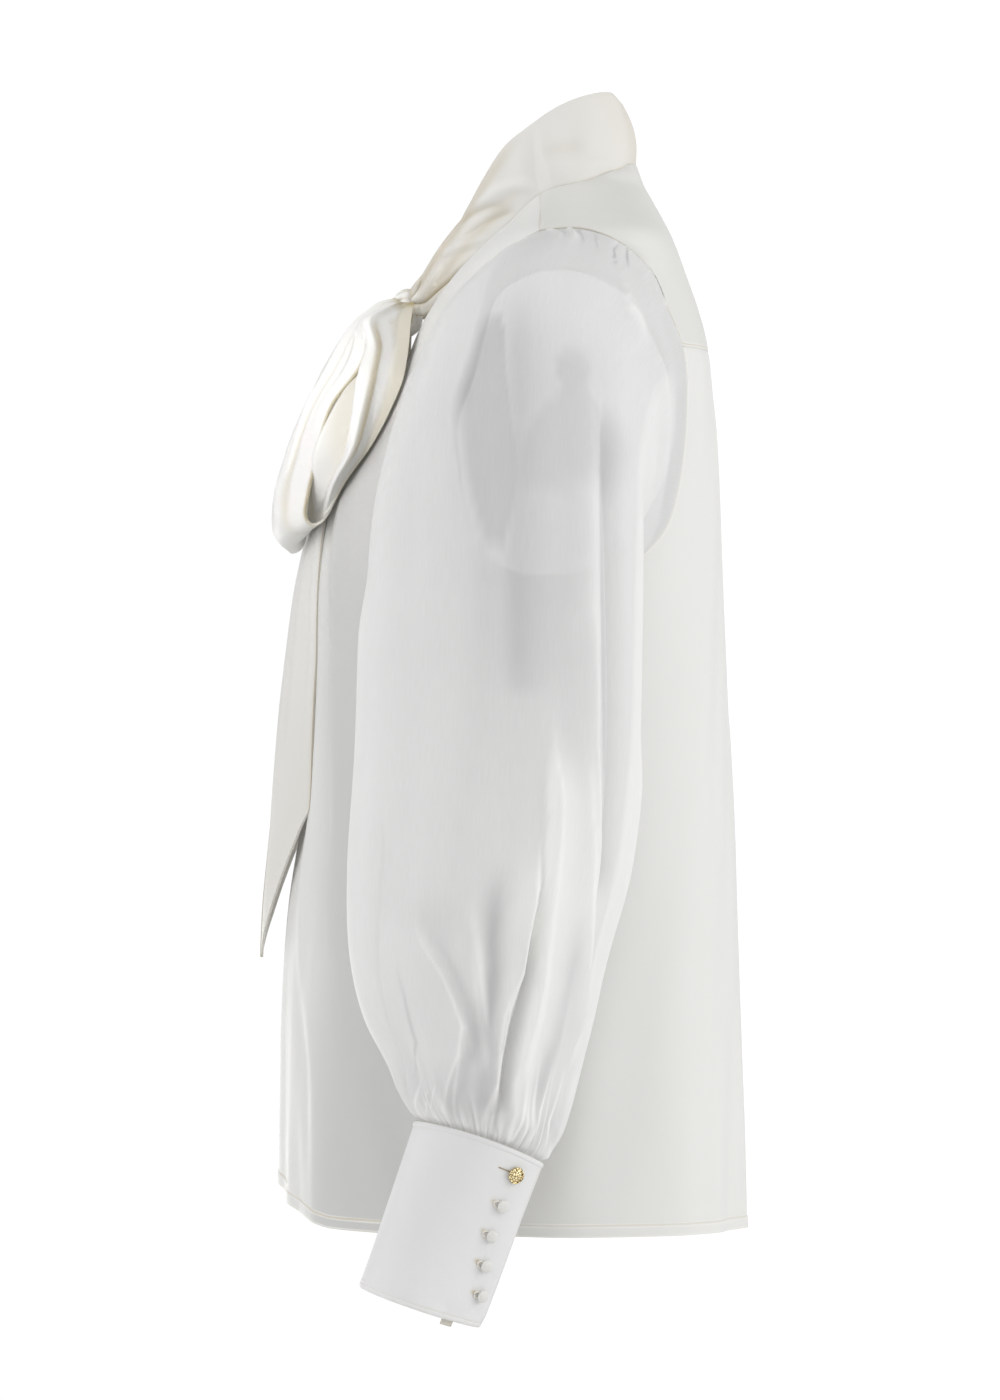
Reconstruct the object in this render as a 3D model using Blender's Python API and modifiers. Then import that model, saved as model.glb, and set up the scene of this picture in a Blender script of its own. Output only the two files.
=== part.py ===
"""Tie-neck blouse with gathered sheer sleeves and deep buttoned cuffs, held as it is worn.

Metres. +X is the wearer's left, -Y the front, +Z up. The origin is on the centre line, level
with the neck end of the shoulder seam. Each cut piece is an open surface on one torso form,
given its wall by Solidify, and each is a node of its own.
"""
import math

import bpy
from mathutils import Matrix, Vector

# Walls and clearances
CLOTH = 0.0010          # body and yoke wall
SHEER = 0.0010          # sleeve wall
TIE = 0.0014            # collar, bow and tails: two layers of the same cloth
CUFF_WALL = 0.0014      # interfaced cuff
SEAM = 0.0003           # each side of a seam draws back by this much
LAP_LIFT = 0.0025       # the right front over the left one
LAP_FADE = (0.0223, 0.0450)           # across the left, where that lift starts and ends fading

# Body
HEM_FRONT = -0.6222
HEM_BACK = -0.6300
HEM_RISE = 0.027        # how much higher the hem is at the fronts' edges
HEM_RISE_WIDTH = 0.157
LAP = 0.0125            # each front passes the centre line by this much
SIDE_SEAM = 90.0        # degrees round from the centre front
UNDERARM = -0.241
CENTRE_ROWS = 13
CENTRE_SPREAD = 1.35    # rows closer together at the top of the lap
SIDE_SPREAD = 1.15
FRONT_COLUMNS = 15
YOKE_HALF_COLUMNS = 16
YOKE_ROWS = 5
ARM_SHARE = 9 / 16      # part of the half yoke's columns that end on the armhole
BACK_HALF_COLUMNS = 12
BACK_ARM_ROWS = 8
BACK_SIDE_ROWS = 9

# Cuff
CUFF_TOP = Vector((0.2550, -0.0546, -0.5650))
CUFF_LENGTH = 0.0980
CUFF_TILT = math.radians(18.5)
CUFF_HALF = (0.0272, 0.0365)          # across the arm, front to back
CUFF_TAPER = 0.0050                   # how much less its back reaches at the lower edge
CUFF_CROWN = 0.0050                   # how much higher its top edge curves on the outer side
CUFF_START = 38.0                     # degrees, where the under layer starts
CUFF_TURN = 400.0                     # degrees that the cuff wraps
CUFF_STEP = 0.0019                    # how far one turn lifts the outer layer
CUFF_COLUMNS = 42
CUFF_ROWS = 3
# Buttons of the cuff: degrees round, drop
BUTTONS = ((39.5, 0.0120), (38.2, 0.0304), (38.6, 0.0477), (44.4, 0.0642), (53.1, 0.0807))
BUTTON_SEAT = 0.0003
GOLD_DOME = (0.0050, 0.0012, 0.0026, 4)      # radius, edge height, crown height, rings
COVERED_DOME = (0.0038, 0.0012, 0.0034, 3)
DOME_BACK = 0.92                      # back face against the full radius

# Tab inside the cuff
TAB_DEGREES = (23.0, 35.5)
TAB_DROPS = (0.0880, 0.0950, 0.1018)
TAB_COLUMNS = 3
TAB_WALL = 0.0008
TAB_GAP = 0.0004

# Knot of the bow
KNOT = Vector((0.0, -0.0988, -0.0780))
KNOT_HALF = (0.0130, 0.0095, 0.0150)
KNOT_CREASES = 5
KNOT_CREASE = 0.05      # depth against the half size

# Collar band
COLLAR_LIFT = 0.0014    # over the neck edge
COLLAR_BOW = 0.0035     # how far the band rounds out at the back
COLLAR_HALF_ROWS = 20
COLLAR_COLUMNS = 4

# Torso form: height, half width, middle, front, back, front and back roundness exponents
FORM = (
    (0.0140, 0.0300, 0.012, -0.0040, 0.0380, 2.20, 2.40),
    (0.0030, 0.0620, 0.008, -0.0120, 0.0420, 2.40, 2.40),
    (-0.0040, 0.0720, 0.006, -0.0180, 0.0447, 2.50, 2.50),
    (-0.0133, 0.0995, 0.005, -0.0265, 0.0495, 2.50, 2.70),
    (-0.0270, 0.1430, 0.005, -0.0375, 0.0555, 2.50, 2.90),
    (-0.0410, 0.1880, 0.004, -0.0525, 0.0610, 2.50, 3.10),
    (-0.0600, 0.1885, 0.002, -0.0710, 0.0680, 2.50, 3.30),
    (-0.0850, 0.1855, -0.001, -0.0880, 0.0772, 2.50, 3.40),
    (-0.1070, 0.1830, -0.004, -0.0965, 0.0822, 2.50, 3.40),
    (-0.1310, 0.1810, -0.009, -0.1100, 0.0845, 2.50, 3.30),
    (-0.1610, 0.1810, -0.016, -0.1275, 0.0874, 2.45, 3.20),
    (-0.1945, 0.1840, -0.024, -0.1460, 0.0890, 2.40, 3.00),
    (-0.2350, 0.1900, -0.030, -0.1530, 0.0905, 2.40, 2.80),
    (-0.3000, 0.1920, -0.031, -0.1555, 0.0935, 2.35, 2.60),
    (-0.3860, 0.1940, -0.032, -0.1610, 0.0978, 2.30, 2.50),
    (-0.4375, 0.1955, -0.034, -0.1680, 0.0996, 2.30, 2.45),
    (-0.4900, 0.1970, -0.035, -0.1715, 0.1013, 2.30, 2.40),
    (-0.5600, 0.1995, -0.036, -0.1722, 0.1035, 2.30, 2.40),
    (-0.6400, 0.2030, -0.036, -0.1725, 0.1050, 2.30, 2.40),
)

# Soft folds that hang in the body: degrees round, half width in degrees, depth, height of the top
BODY_FOLDS = (
    (13.0, 9.0, 0.0030, -0.300),
    (31.0, 9.0, 0.0028, -0.340),
    (52.0, 11.0, 0.0022, -0.400),
    (128.0, 12.0, 0.0022, -0.380),
    (154.0, 13.0, 0.0020, -0.400),
)

# Soft pleat below the yoke by each armhole: degrees round, half width in degrees, depth, length,
# and how far below the seam it reaches its full depth
PLEAT = (124.0, 5.0, 0.0030, 0.075, 0.010)

# Front yoke seam, from the neck to the shoulder tip: degrees round, height
YOKE_FRONT = ((72.0, -0.0120), (77.0, -0.0195), (80.3, -0.0300), (82.6, -0.0410))
# Yoke edge from the shoulder tip over to its back corner, then the back seam: degrees, height
YOKE_EDGE = (
    (82.6, -0.0410),
    (90.3, -0.0405),
    (97.6, -0.0490),
    (104.5, -0.0650),
    (108.9, -0.0865),
    (113.6, -0.1066),
)
YOKE_CORNER = 113.6
YOKE_BACK_SEAM = (-0.1066, -0.1035)   # height at the corner and at the centre back
# Armhole edges of the front and the back: degrees round, height
FRONT_ARMHOLE = (
    (82.6, -0.0410),
    (74.0, -0.0575),
    (72.0, -0.0850),
    (70.5, -0.1150),
    (69.8, -0.1400),
    (74.0, -0.1720),
    (79.0, -0.2060),
    (83.0, -0.2300),
    (90.0, -0.2410),
)
BACK_ARMHOLE = (
    (113.6, -0.1066),
    (116.8, -0.1300),
    (118.2, -0.1600),
    (118.4, -0.1900),
    (116.0, -0.2140),
    (109.0, -0.2335),
    (99.5, -0.2400),
    (90.0, -0.2410),
)
# Neckline of one side, centre back to centre front: left, back, up
NECKLINE = (
    (0.0000, 0.0390, 0.0110),
    (0.0300, 0.0370, 0.0095),
    (0.0540, 0.0265, 0.0040),
    (0.0680, 0.0080, -0.0040),
    (0.0715, -0.0070, -0.0085),
    (0.0700, -0.0180, -0.0120),
    (0.0655, -0.0290, -0.0200),
    (0.0580, -0.0440, -0.0345),
    (0.0475, -0.0600, -0.0520),
    (0.0360, -0.0730, -0.0665),
    (0.0225, -0.0830, -0.0795),
    (0.0070, -0.0890, -0.0895),
    (-0.0125, -0.0930, -0.0985),
)
NECK_POINT = 5          # row of NECKLINE where the front yoke seam starts
# Upper edge of the collar band against the first rows of NECKLINE: left, back, up
COLLAR_TOP = (
    (0.0000, 0.0305, 0.0500),
    (0.0290, 0.0240, 0.0528),
    (0.0450, 0.0110, 0.0500),
    (0.0540, -0.0040, 0.0440),
    (0.0565, -0.0180, 0.0355),
    (0.0560, -0.0270, 0.0290),
    (0.0535, -0.0400, 0.0180),
    (0.0480, -0.0520, 0.0000),
    (0.0385, -0.0645, -0.0215),
    (0.0265, -0.0790, -0.0400),
    (0.0165, -0.0890, -0.0555),
    (0.0100, -0.0965, -0.0645),
)
# Lower edge of the band where it leaves the neckline for the knot: left, back, up
COLLAR_END = ((0.0215, -0.0865, -0.0780), (0.0150, -0.0935, -0.0790))

# Armhole as the sleeve meets it: degrees round the sleeve of the yoke's back corner, and how far
# the sleeve stands off the form at the shoulder and at the underarm
ARMHOLE_CORNER = 72.0
ARMHOLE_OUT = 0.0018
UNDERARM_OUT = 0.0030

# Sleeve rings below the armhole: outer x and z, inner x and z, front, back, front raised by
SLEEVE = (
    (0.2050, -0.0460, 0.1960, -0.2460, -0.0840, 0.0590, 0.000),
    (0.2300, -0.0650, 0.1990, -0.2620, -0.0980, 0.0470, 0.000),
    (0.2580, -0.1020, 0.2030, -0.2850, -0.1090, 0.0400, 0.000),
    (0.2810, -0.1520, 0.2060, -0.3120, -0.1165, 0.0385, 0.000),
    (0.2930, -0.2250, 0.2080, -0.3450, -0.1180, 0.0375, 0.000),
    (0.3000, -0.3050, 0.2090, -0.3850, -0.1200, 0.0360, 0.000),
    (0.3040, -0.3850, 0.2100, -0.4300, -0.1245, 0.0290, 0.000),
    (0.3040, -0.4450, 0.2120, -0.4700, -0.1240, 0.0150, 0.002),
    (0.3000, -0.4900, 0.2150, -0.5050, -0.1165, 0.0050, 0.005),
    (0.2930, -0.5280, 0.2200, -0.5350, -0.1020, -0.0060, 0.009),
)
SLEEVE_COLUMNS = 54
SLEEVE_ROWS = (0.0, 0.4, 1.0, 1.7, 2.6, 3.7, 5.0, 6.4, 7.6, 8.6, 9.4, 10.1, 10.6, 11.0)
SLEEVE_END = (-0.0016, 0.0004)        # last ring: drop from the cuff's top, and out from it
CAP_GATHER = 0.0016     # depth of the gathers in the sleeve head
CAP_REACH = (0.3, 3.2)  # rings where they are deepest and where they end
CUFF_GATHER = 0.0020    # depth of the gathers above the cuff
CUFF_GATHERS = 18
CUFF_REACH = (2.6, 0.6) # rings above the cuff where they start and where they are deepest
FOLD_WIDTH = 11.0       # degrees
# Large folds of a sleeve: degrees at the cuff, degrees higher up, rows they reach up, depth
SLEEVE_FOLDS = (
    (-22.0, -36.0, 5.0, 0.0050),
    (2.0, 24.0, 8.0, 0.0060),
    (40.0, 50.0, 5.5, 0.0050),
    (84.0, 96.0, 4.5, 0.0040),
    (140.0, 150.0, 4.0, 0.0035),
    (200.0, 195.0, 4.5, 0.0035),
    (252.0, 262.0, 5.0, 0.0045),
    (305.0, 296.0, 5.5, 0.0045),
)

# Bow loop, from the knot down its front strip, round the bottom and back up on the chest:
# inner edge x and z and how far it stands off the chest, then the same for the outer edge
LOOP = (
    (0.0085, -0.0705, 0.0270, 0.0150, -0.0760, 0.0175),
    (0.0130, -0.0745, 0.0360, 0.0290, -0.0785, 0.0210),
    (0.0190, -0.0880, 0.0425, 0.0500, -0.0880, 0.0240),
    (0.0240, -0.1090, 0.0480, 0.0710, -0.1055, 0.0275),
    (0.0260, -0.1320, 0.0460, 0.0850, -0.1300, 0.0290),
    (0.0270, -0.1570, 0.0405, 0.0910, -0.1520, 0.0290),
    (0.0270, -0.1810, 0.0335, 0.0915, -0.1730, 0.0260),
    (0.0270, -0.2015, 0.0285, 0.0900, -0.1900, 0.0220),
    (0.0275, -0.2165, 0.0235, 0.0885, -0.2020, 0.0190),
    (0.0285, -0.2235, 0.0165, 0.0880, -0.2080, 0.0130),
    (0.0300, -0.2170, 0.0115, 0.0890, -0.2040, 0.0072),
    (0.0300, -0.1970, 0.0125, 0.0970, -0.1890, 0.0052),
    (0.0280, -0.1700, 0.0180, 0.1080, -0.1660, 0.0048),
    (0.0250, -0.1440, 0.0225, 0.1100, -0.1440, 0.0048),
    (0.0215, -0.1200, 0.0215, 0.0920, -0.1210, 0.0052),
    (0.0190, -0.1040, 0.0190, 0.0580, -0.1040, 0.0062),
    (0.0160, -0.0945, 0.0160, 0.0310, -0.0925, 0.0072),
    (0.0140, -0.0880, 0.0120, 0.0190, -0.0850, 0.0084),
)
LOOP_TURN = 9.0         # row of LOOP at the bottom of the loop
LOOP_PUFF = 0.0070      # how far the front strip of a loop bows out
RIGHT_LOOP = (0.95, 0.97)        # length and width of the right loop against the left
LOOP_ROWS = 26
LOOP_COLUMNS = 5
TAIL_ROWS = 18
TAIL_COLUMNS = 4

# Tail of the tie, from under the knot: inner x, z, outer x, z, and how far each lies off the form
TAIL = (
    (0.0012, -0.0950, 0.0075, -0.0950, 0.0066, 0.0058),
    (0.0012, -0.1060, 0.0170, -0.1050, 0.0056, 0.0050),
    (0.0020, -0.1260, 0.0320, -0.1240, 0.0048, 0.0042),
    (0.0030, -0.1520, 0.0470, -0.1480, 0.0046, 0.0036),
    (0.0035, -0.1820, 0.0590, -0.1760, 0.0048, 0.0034),
    (0.0040, -0.2160, 0.0670, -0.2060, 0.0085, 0.0032),
    (0.0045, -0.2560, 0.0710, -0.2400, 0.0135, 0.0030),
    (0.0045, -0.3020, 0.0720, -0.2780, 0.0180, 0.0030),
    (0.0050, -0.3480, 0.0720, -0.3120, 0.0200, 0.0034),
    (0.0050, -0.3900, 0.0720, -0.3380, 0.0200, 0.0034),
    (0.0045, -0.4300, 0.0720, -0.3600, 0.0180, 0.0030),
    (0.0030, -0.4690, 0.0720, -0.3780, 0.0165, 0.0028),
)

COLOURS = {
    "silk": (0.86, 0.85, 0.81, 1.0),
    "sheer silk": (0.80, 0.80, 0.80, 1.0),
    "gold metal": (0.78, 0.62, 0.30, 1.0),
}
ROUGHNESS = {"silk": 0.45, "sheer silk": 0.55, "gold metal": 0.25}


def hermite(keys, values, at):
    """Value at a key on the smooth curve through a table's rows."""
    last = len(keys) - 1
    sign = 1 if keys[-1] > keys[0] else -1
    i = 0
    while i < last - 1 and sign * at > sign * keys[i + 1]:
        i += 1

    def slope(j):
        low, high = max(j - 1, 0), min(j + 1, last)
        return (values[high] - values[low]) / (keys[high] - keys[low])

    step = keys[i + 1] - keys[i]
    t = min(1.0, max(0.0, (at - keys[i]) / step))
    bend = t * t * (3 - 2 * t)
    start = values[i] * (1 - bend) + values[i + 1] * bend
    return start + step * (slope(i) * t * (1 - t) ** 2 - slope(i + 1) * t * t * (1 - t))


def row_at(table, place):
    """A row between a table's rows, counted from 0 at the first."""
    keys = list(range(len(table)))
    return [hermite(keys, [row[c] for row in table], place) for c in range(len(table[0]))]


def section(height):
    keys = [row[0] for row in FORM]
    return [hermite(keys, [row[c] for row in FORM], height) for c in range(1, 7)]


def form_point(degrees, height, out=0.0):
    """Point of the torso form at an angle round from the centre front, moved out level."""
    half, middle, front, back, front_round, back_round = section(height)
    turn = math.radians(degrees)
    across, ahead = math.sin(turn), math.cos(turn)
    depth = middle - front if ahead > 0 else back - middle
    power = front_round if ahead > 0 else back_round
    reach = (abs(across / half) ** power + abs(ahead / depth) ** power) ** (-1 / power) + out
    return Vector((reach * across, middle - reach * ahead, height))


def angle_of(x, y, height):
    """Degrees round from the centre front of a place at a height."""
    return math.degrees(math.atan2(x, section(height)[1] - y))


def chest(x, height):
    """How far forward the form's front is at a place across it."""
    half, middle, front, _, power, _ = section(height)
    inside = max(0.0, 1 - min(1.0, abs(x) / half) ** power)
    return middle - (middle - front) * inside ** (1 / power)


def blend(low, high, at):
    t = min(1.0, max(0.0, (at - low) / (high - low)))
    return t * t * (3 - 2 * t)


def draped(degrees, height):
    """How far the hanging body stands out of the form."""
    out = 0.0
    for middle, wide, depth, top in BODY_FOLDS:
        near = max(0.0, 1 - abs(degrees - middle) / wide)
        out += depth * near * near * (3 - 2 * near) * blend(top, HEM_FRONT, height)
    return out


def draw_back(grid, sides):
    """Moves the named edges of a grid of points inward, to leave the seam gap."""
    last = len(grid) - 1
    if "top" in sides:
        grid[0] = [p + (q - p).normalized() * SEAM for p, q in zip(grid[0], grid[1])]
    if "bottom" in sides:
        grid[last] = [p + (q - p).normalized() * SEAM for p, q in zip(grid[last], grid[last - 1])]
    for row in grid:
        if "first" in sides:
            row[0] = row[0] + (row[1] - row[0]).normalized() * SEAM
        if "last" in sides:
            row[-1] = row[-1] + (row[-2] - row[-1]).normalized() * SEAM


def material(name):
    found = bpy.data.materials.get(name)
    if found:
        return found
    made = bpy.data.materials.new(name)
    made.use_nodes = True
    shader = made.node_tree.nodes["Principled BSDF"]
    shader.inputs["Base Color"].default_value = COLOURS[name]
    shader.inputs["Roughness"].default_value = ROUGHNESS[name]
    shader.inputs["Metallic"].default_value = 1.0 if name == "gold metal" else 0.0
    return made


def sheet(name, grid, wall, cloth, inside, ring=False):
    """An open surface through a grid of points, with its wall grown away from the inside."""
    wide = len(grid[0])
    points = [p for row in grid for p in row]
    steps = range(wide if ring else wide - 1)
    faces = [
        (r * wide + c, r * wide + n, (r + 1) * wide + n, (r + 1) * wide + c)
        for r in range(len(grid) - 1)
        for c, n in ((c, (c + 1) % wide) for c in steps)
    ]
    mesh = bpy.data.meshes.new(name)
    mesh.from_pydata(points, [], faces)
    mesh.update()
    facing = sum(f.normal.dot(f.center - inside(f.center)) * f.area for f in mesh.polygons)
    if facing < 0:
        mesh.flip_normals()
    mesh.shade_smooth()
    made = bpy.data.objects.new(name, mesh)
    mesh.materials.append(material(cloth))
    BLOUSE.objects.link(made)
    thick = made.modifiers.new("wall", "SOLIDIFY")
    thick.thickness = wall
    thick.offset = 1.0
    return made


def body_axis(point):
    return Vector((0.0, section(min(point.z, 0.0))[1], min(point.z, -0.05)))


def side_name(name, side):
    return name + ("_left" if side > 0 else "_right")


# ---------------------------------------------------------------- body

def hem_height(degrees):
    return HEM_FRONT + (HEM_BACK - HEM_FRONT) * blend(SIDE_SEAM, 180.0, abs(degrees))


def neck_row(place):
    """Neckline point of the left side as degrees round and height."""
    x, y, z = row_at(NECKLINE, place)
    return angle_of(x, y, z), z


def front_edge(place):
    """The front's inner edge: the neckline to its end, then the centre front overlap to the hem."""
    rows_of_neck = len(NECKLINE) - 1 - NECK_POINT
    if place <= rows_of_neck:
        return neck_row(NECK_POINT + place)
    down = ((place - rows_of_neck) / CENTRE_ROWS) ** CENTRE_SPREAD
    z = NECKLINE[-1][2] + down * (HEM_FRONT - NECKLINE[-1][2])
    return angle_of(-LAP, chest(LAP, z), z), z


def front(side):
    """One front: yoke seam at the top, neckline and lap inside, armhole and side seam outside."""
    neck_rows = len(NECKLINE) - 1 - NECK_POINT
    rows = neck_rows + CENTRE_ROWS
    arm_rows = neck_rows + 2
    grid = []
    for r in range(rows + 1):
        inner_turn, inner_z = front_edge(r)
        if r <= arm_rows:
            outer_turn, outer_z = row_at(FRONT_ARMHOLE, r / arm_rows * (len(FRONT_ARMHOLE) - 1))
        else:
            outer_turn = SIDE_SEAM
            down = ((r - arm_rows) / (rows - arm_rows)) ** SIDE_SPREAD
            outer_z = UNDERARM + down * (hem_height(SIDE_SEAM) - UNDERARM)
        line = []
        for c in range(FRONT_COLUMNS + 1):
            u = c / FRONT_COLUMNS
            turn = inner_turn + (outer_turn - inner_turn) * u
            z = inner_z + (outer_z - inner_z) * blend(0.0, 1.0, u)
            if r == 0:
                turn, z = row_at(YOKE_FRONT, u * (len(YOKE_FRONT) - 1))
            if r == rows:
                from_edge = (form_point(turn, z) - form_point(inner_turn, z)).length
                z += HEM_RISE * max(0.0, 1 - from_edge / HEM_RISE_WIDTH) ** 1.1
            lift = LAP_LIFT * (1 - blend(*LAP_FADE, form_point(turn, z).x)) if side < 0 else 0.0
            point = form_point(turn, z, lift + draped(turn, z))
            line.append(Vector((side * point.x, point.y, point.z)))
        grid.append(line)
    draw_back(grid, ("top", "last"))
    sheet(side_name("front", side), grid, CLOTH, "silk", body_axis)


def yoke_outer(u):
    """Outer boundary of half the yoke, front seam to centre back, as degrees and height."""
    if u <= ARM_SHARE:
        return row_at(YOKE_EDGE, u / ARM_SHARE * (len(YOKE_EDGE) - 1))
    part = (u - ARM_SHARE) / (1 - ARM_SHARE)
    low, high = YOKE_BACK_SEAM
    return [YOKE_CORNER + (180.0 - YOKE_CORNER) * part, low + (high - low) * part]


def yoke():
    """The shoulder yoke, in one piece from front seam to front seam round the back neck."""
    half = []
    for c in range(YOKE_HALF_COLUMNS + 1):
        u = c / YOKE_HALF_COLUMNS
        neck_turn, neck_z = neck_row(NECK_POINT * (1 - u))
        outer_turn, outer_z = yoke_outer(u)
        column = []
        for r in range(YOKE_ROWS + 1):
            v = r / YOKE_ROWS
            turn = neck_turn + (outer_turn - neck_turn) * v
            z = neck_z + (outer_z - neck_z) * v
            if c == 0:
                turn, z = row_at(YOKE_FRONT, v * (len(YOKE_FRONT) - 1))
            column.append(form_point(turn, z))
        half.append(column)
    mirrored = [[Vector((-p.x, p.y, p.z)) for p in column] for column in half[:-1]]
    columns = half + mirrored[::-1]
    grid = [[column[r] for column in columns] for r in range(YOKE_ROWS + 1)]
    draw_back(grid, ("top", "bottom", "first", "last"))
    sheet("yoke", grid, CLOTH, "silk", body_axis)


def pleated(degrees, height):
    """How far the soft pleat by the armhole stands out of the back."""
    middle, wide, deep, long, full = PLEAT
    below = YOKE_BACK_SEAM[0] - height
    near = max(0.0, 1 - abs(degrees - middle) / wide)
    return deep * near * blend(0.0, full, below) * (1 - blend(0.0, long, below))


def back():
    """The back, from the yoke seam to the hem, with a soft pleat by each armhole."""
    grid = []
    for r in range(BACK_ARM_ROWS + BACK_SIDE_ROWS + 1):
        if r <= BACK_ARM_ROWS:
            place = r / BACK_ARM_ROWS * (len(BACK_ARMHOLE) - 1)
            outer_turn, outer_z = row_at(BACK_ARMHOLE, place)
        else:
            outer_turn = SIDE_SEAM
            down = (r - BACK_ARM_ROWS) / BACK_SIDE_ROWS
            outer_z = UNDERARM + down * (hem_height(SIDE_SEAM) - UNDERARM)
        down = r / (BACK_ARM_ROWS + BACK_SIDE_ROWS)
        centre_z = YOKE_BACK_SEAM[1] + down * (HEM_BACK - YOKE_BACK_SEAM[1])
        half = []
        for c in range(BACK_HALF_COLUMNS + 1):
            u = c / BACK_HALF_COLUMNS
            turn = outer_turn + (180.0 - outer_turn) * u
            z = outer_z + (centre_z - outer_z) * u
            half.append(form_point(turn, z, pleated(turn, z) + draped(turn, z)))
        mirrored = [Vector((-p.x, p.y, p.z)) for p in half[:-1]]
        grid.append(half + mirrored[::-1])
    draw_back(grid, ("top", "first", "last"))
    sheet("back", grid, CLOTH, "silk", body_axis)


# ---------------------------------------------------------------- sleeves and cuffs

def cuff_frame(side):
    across = Vector((side, 0.0, 0.0))
    rear = Vector((0.0, math.cos(CUFF_TILT), -math.sin(CUFF_TILT)))
    down = Vector((0.0, -math.sin(CUFF_TILT), -math.cos(CUFF_TILT)))
    top = Vector((side * CUFF_TOP.x, CUFF_TOP.y, CUFF_TOP.z))
    return top, across, rear, down


def cuff_point(side, degrees, drop, out=0.0):
    """Point of the cuff's oval: 0 degrees faces away from the body, 90 degrees the back."""
    top, across, rear, down = cuff_frame(side)
    turn = math.radians(degrees)
    lean = CUFF_TAPER * max(0.0, drop) / CUFF_LENGTH * (0.5 + 0.5 * math.sin(turn))
    wide = (CUFF_HALF[0] + out) * math.cos(turn)
    deep = (CUFF_HALF[1] + out) * math.sin(turn) - lean
    rise = CUFF_CROWN * max(0.0, math.cos(turn)) ** 1.5 * (1 - drop / CUFF_LENGTH)
    return top + across * wide + rear * deep + down * (drop - rise)


def armhole_loop(side, theta):
    """Point of the armhole at degrees round the sleeve: 0 shoulder, 90 back, 180 underarm."""
    theta %= 360.0
    if theta <= ARMHOLE_CORNER:
        turn, z = row_at(YOKE_EDGE, theta / ARMHOLE_CORNER * (len(YOKE_EDGE) - 1))
    elif theta <= 180.0:
        part = (theta - ARMHOLE_CORNER) / (180.0 - ARMHOLE_CORNER)
        turn, z = row_at(BACK_ARMHOLE, part * (len(BACK_ARMHOLE) - 1))
    else:
        turn, z = row_at(FRONT_ARMHOLE, (360.0 - theta) / 180.0 * (len(FRONT_ARMHOLE) - 1))
    low = 0.5 - 0.5 * math.cos(math.radians(theta))
    point = form_point(turn, z, ARMHOLE_OUT + (UNDERARM_OUT - ARMHOLE_OUT) * low)
    return Vector((side * point.x, point.y, point.z))


def sleeve_ring(side, index, theta):
    """Point of one key ring: 0 is the armhole, then the rows of SLEEVE, then the cuff."""
    if index == 0:
        return armhole_loop(side, theta)
    if index == len(SLEEVE) + 1:
        return cuff_point(side, theta, *SLEEVE_END)
    out_x, out_z, in_x, in_z, ahead, behind, raised = SLEEVE[index - 1]
    turn = math.radians(theta)
    reach, sweep = math.cos(turn), math.sin(turn)
    x = (out_x + in_x) / 2 + (out_x - in_x) / 2 * reach
    z = (out_z + in_z) / 2 + (out_z - in_z) / 2 * reach - raised * sweep
    y = (ahead + behind) / 2 + (behind - ahead) / 2 * sweep
    return Vector((side * x, y, z))


def sleeve_point(side, place, theta):
    """Point of the plain sleeve tube, place counted in key rings."""
    rings = [sleeve_ring(side, k, theta) for k in range(len(SLEEVE) + 2)]
    return Vector(row_at(rings, place))


def gathered(place, theta, column):
    """How far the cloth stands out of the plain tube: gathers at both ends, long folds between."""
    last = len(SLEEVE) + 1
    over = max(0.0, math.cos(math.radians(theta))) ** 0.5
    start, end = CAP_REACH
    out = CAP_GATHER * over * (column % 2) * blend(0.0, start, place) * (1 - blend(start, end, place))
    wave = 0.5 + 0.5 * math.cos(math.radians(theta) * CUFF_GATHERS)
    start, full = CUFF_REACH
    flat = 1 - 0.6 * blend(last - 0.4, last, place)
    out += CUFF_GATHER * wave * flat * blend(last - start, last - full, place)
    for at_cuff, above, rows, depth in SLEEVE_FOLDS:
        up = (last - place) / rows
        if 0.0 < up < 1.0:
            middle = at_cuff + (above - at_cuff) * up
            off = (theta - middle + 180.0) % 360.0 - 180.0
            strength = math.sin(math.pi * up)
            out += depth * strength * math.exp(-(off / FOLD_WIDTH) ** 2)
    return out


def sleeve(side):
    """One full sleeve from the armhole to the cuff."""
    grid = []
    for place in SLEEVE_ROWS:
        middle = (sleeve_point(side, place, 0.0) + sleeve_point(side, place, 180.0)) / 2
        line = []
        for c in range(SLEEVE_COLUMNS):
            theta = 360.0 * c / SLEEVE_COLUMNS
            point = sleeve_point(side, place, theta)
            away = (point - middle).normalized()
            line.append(point + away * gathered(place, theta, c))
        grid.append(line)

    def arm(point):
        # the nearest place on the arm's line, so that the wall grows outward all round
        share = min(1.0, max(0.0, (-0.04 - point.z) / 0.52))
        return Vector((side * (0.205 + 0.05 * blend(0.0, 0.5, share)), -0.035, min(point.z, -0.14)))

    sheet(side_name("sleeve", side), grid, SHEER, "sheer silk", arm, ring=True)


def cuff(side):
    """A deep cuff: one strip wrapped a little more than once round, its outer end on top."""
    grid = []
    for r in range(CUFF_ROWS + 1):
        line = []
        for c in range(CUFF_COLUMNS + 1):
            share = c / CUFF_COLUMNS
            degrees = CUFF_START + CUFF_TURN * share
            line.append(cuff_point(side, degrees, CUFF_LENGTH * r / CUFF_ROWS, CUFF_STEP * share))
        grid.append(line)
    top, _, _, down = cuff_frame(side)

    def wrist(point):
        return top + down * (point - top).dot(down)

    sheet(side_name("cuff", side), grid, CUFF_WALL, "silk", wrist)


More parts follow.
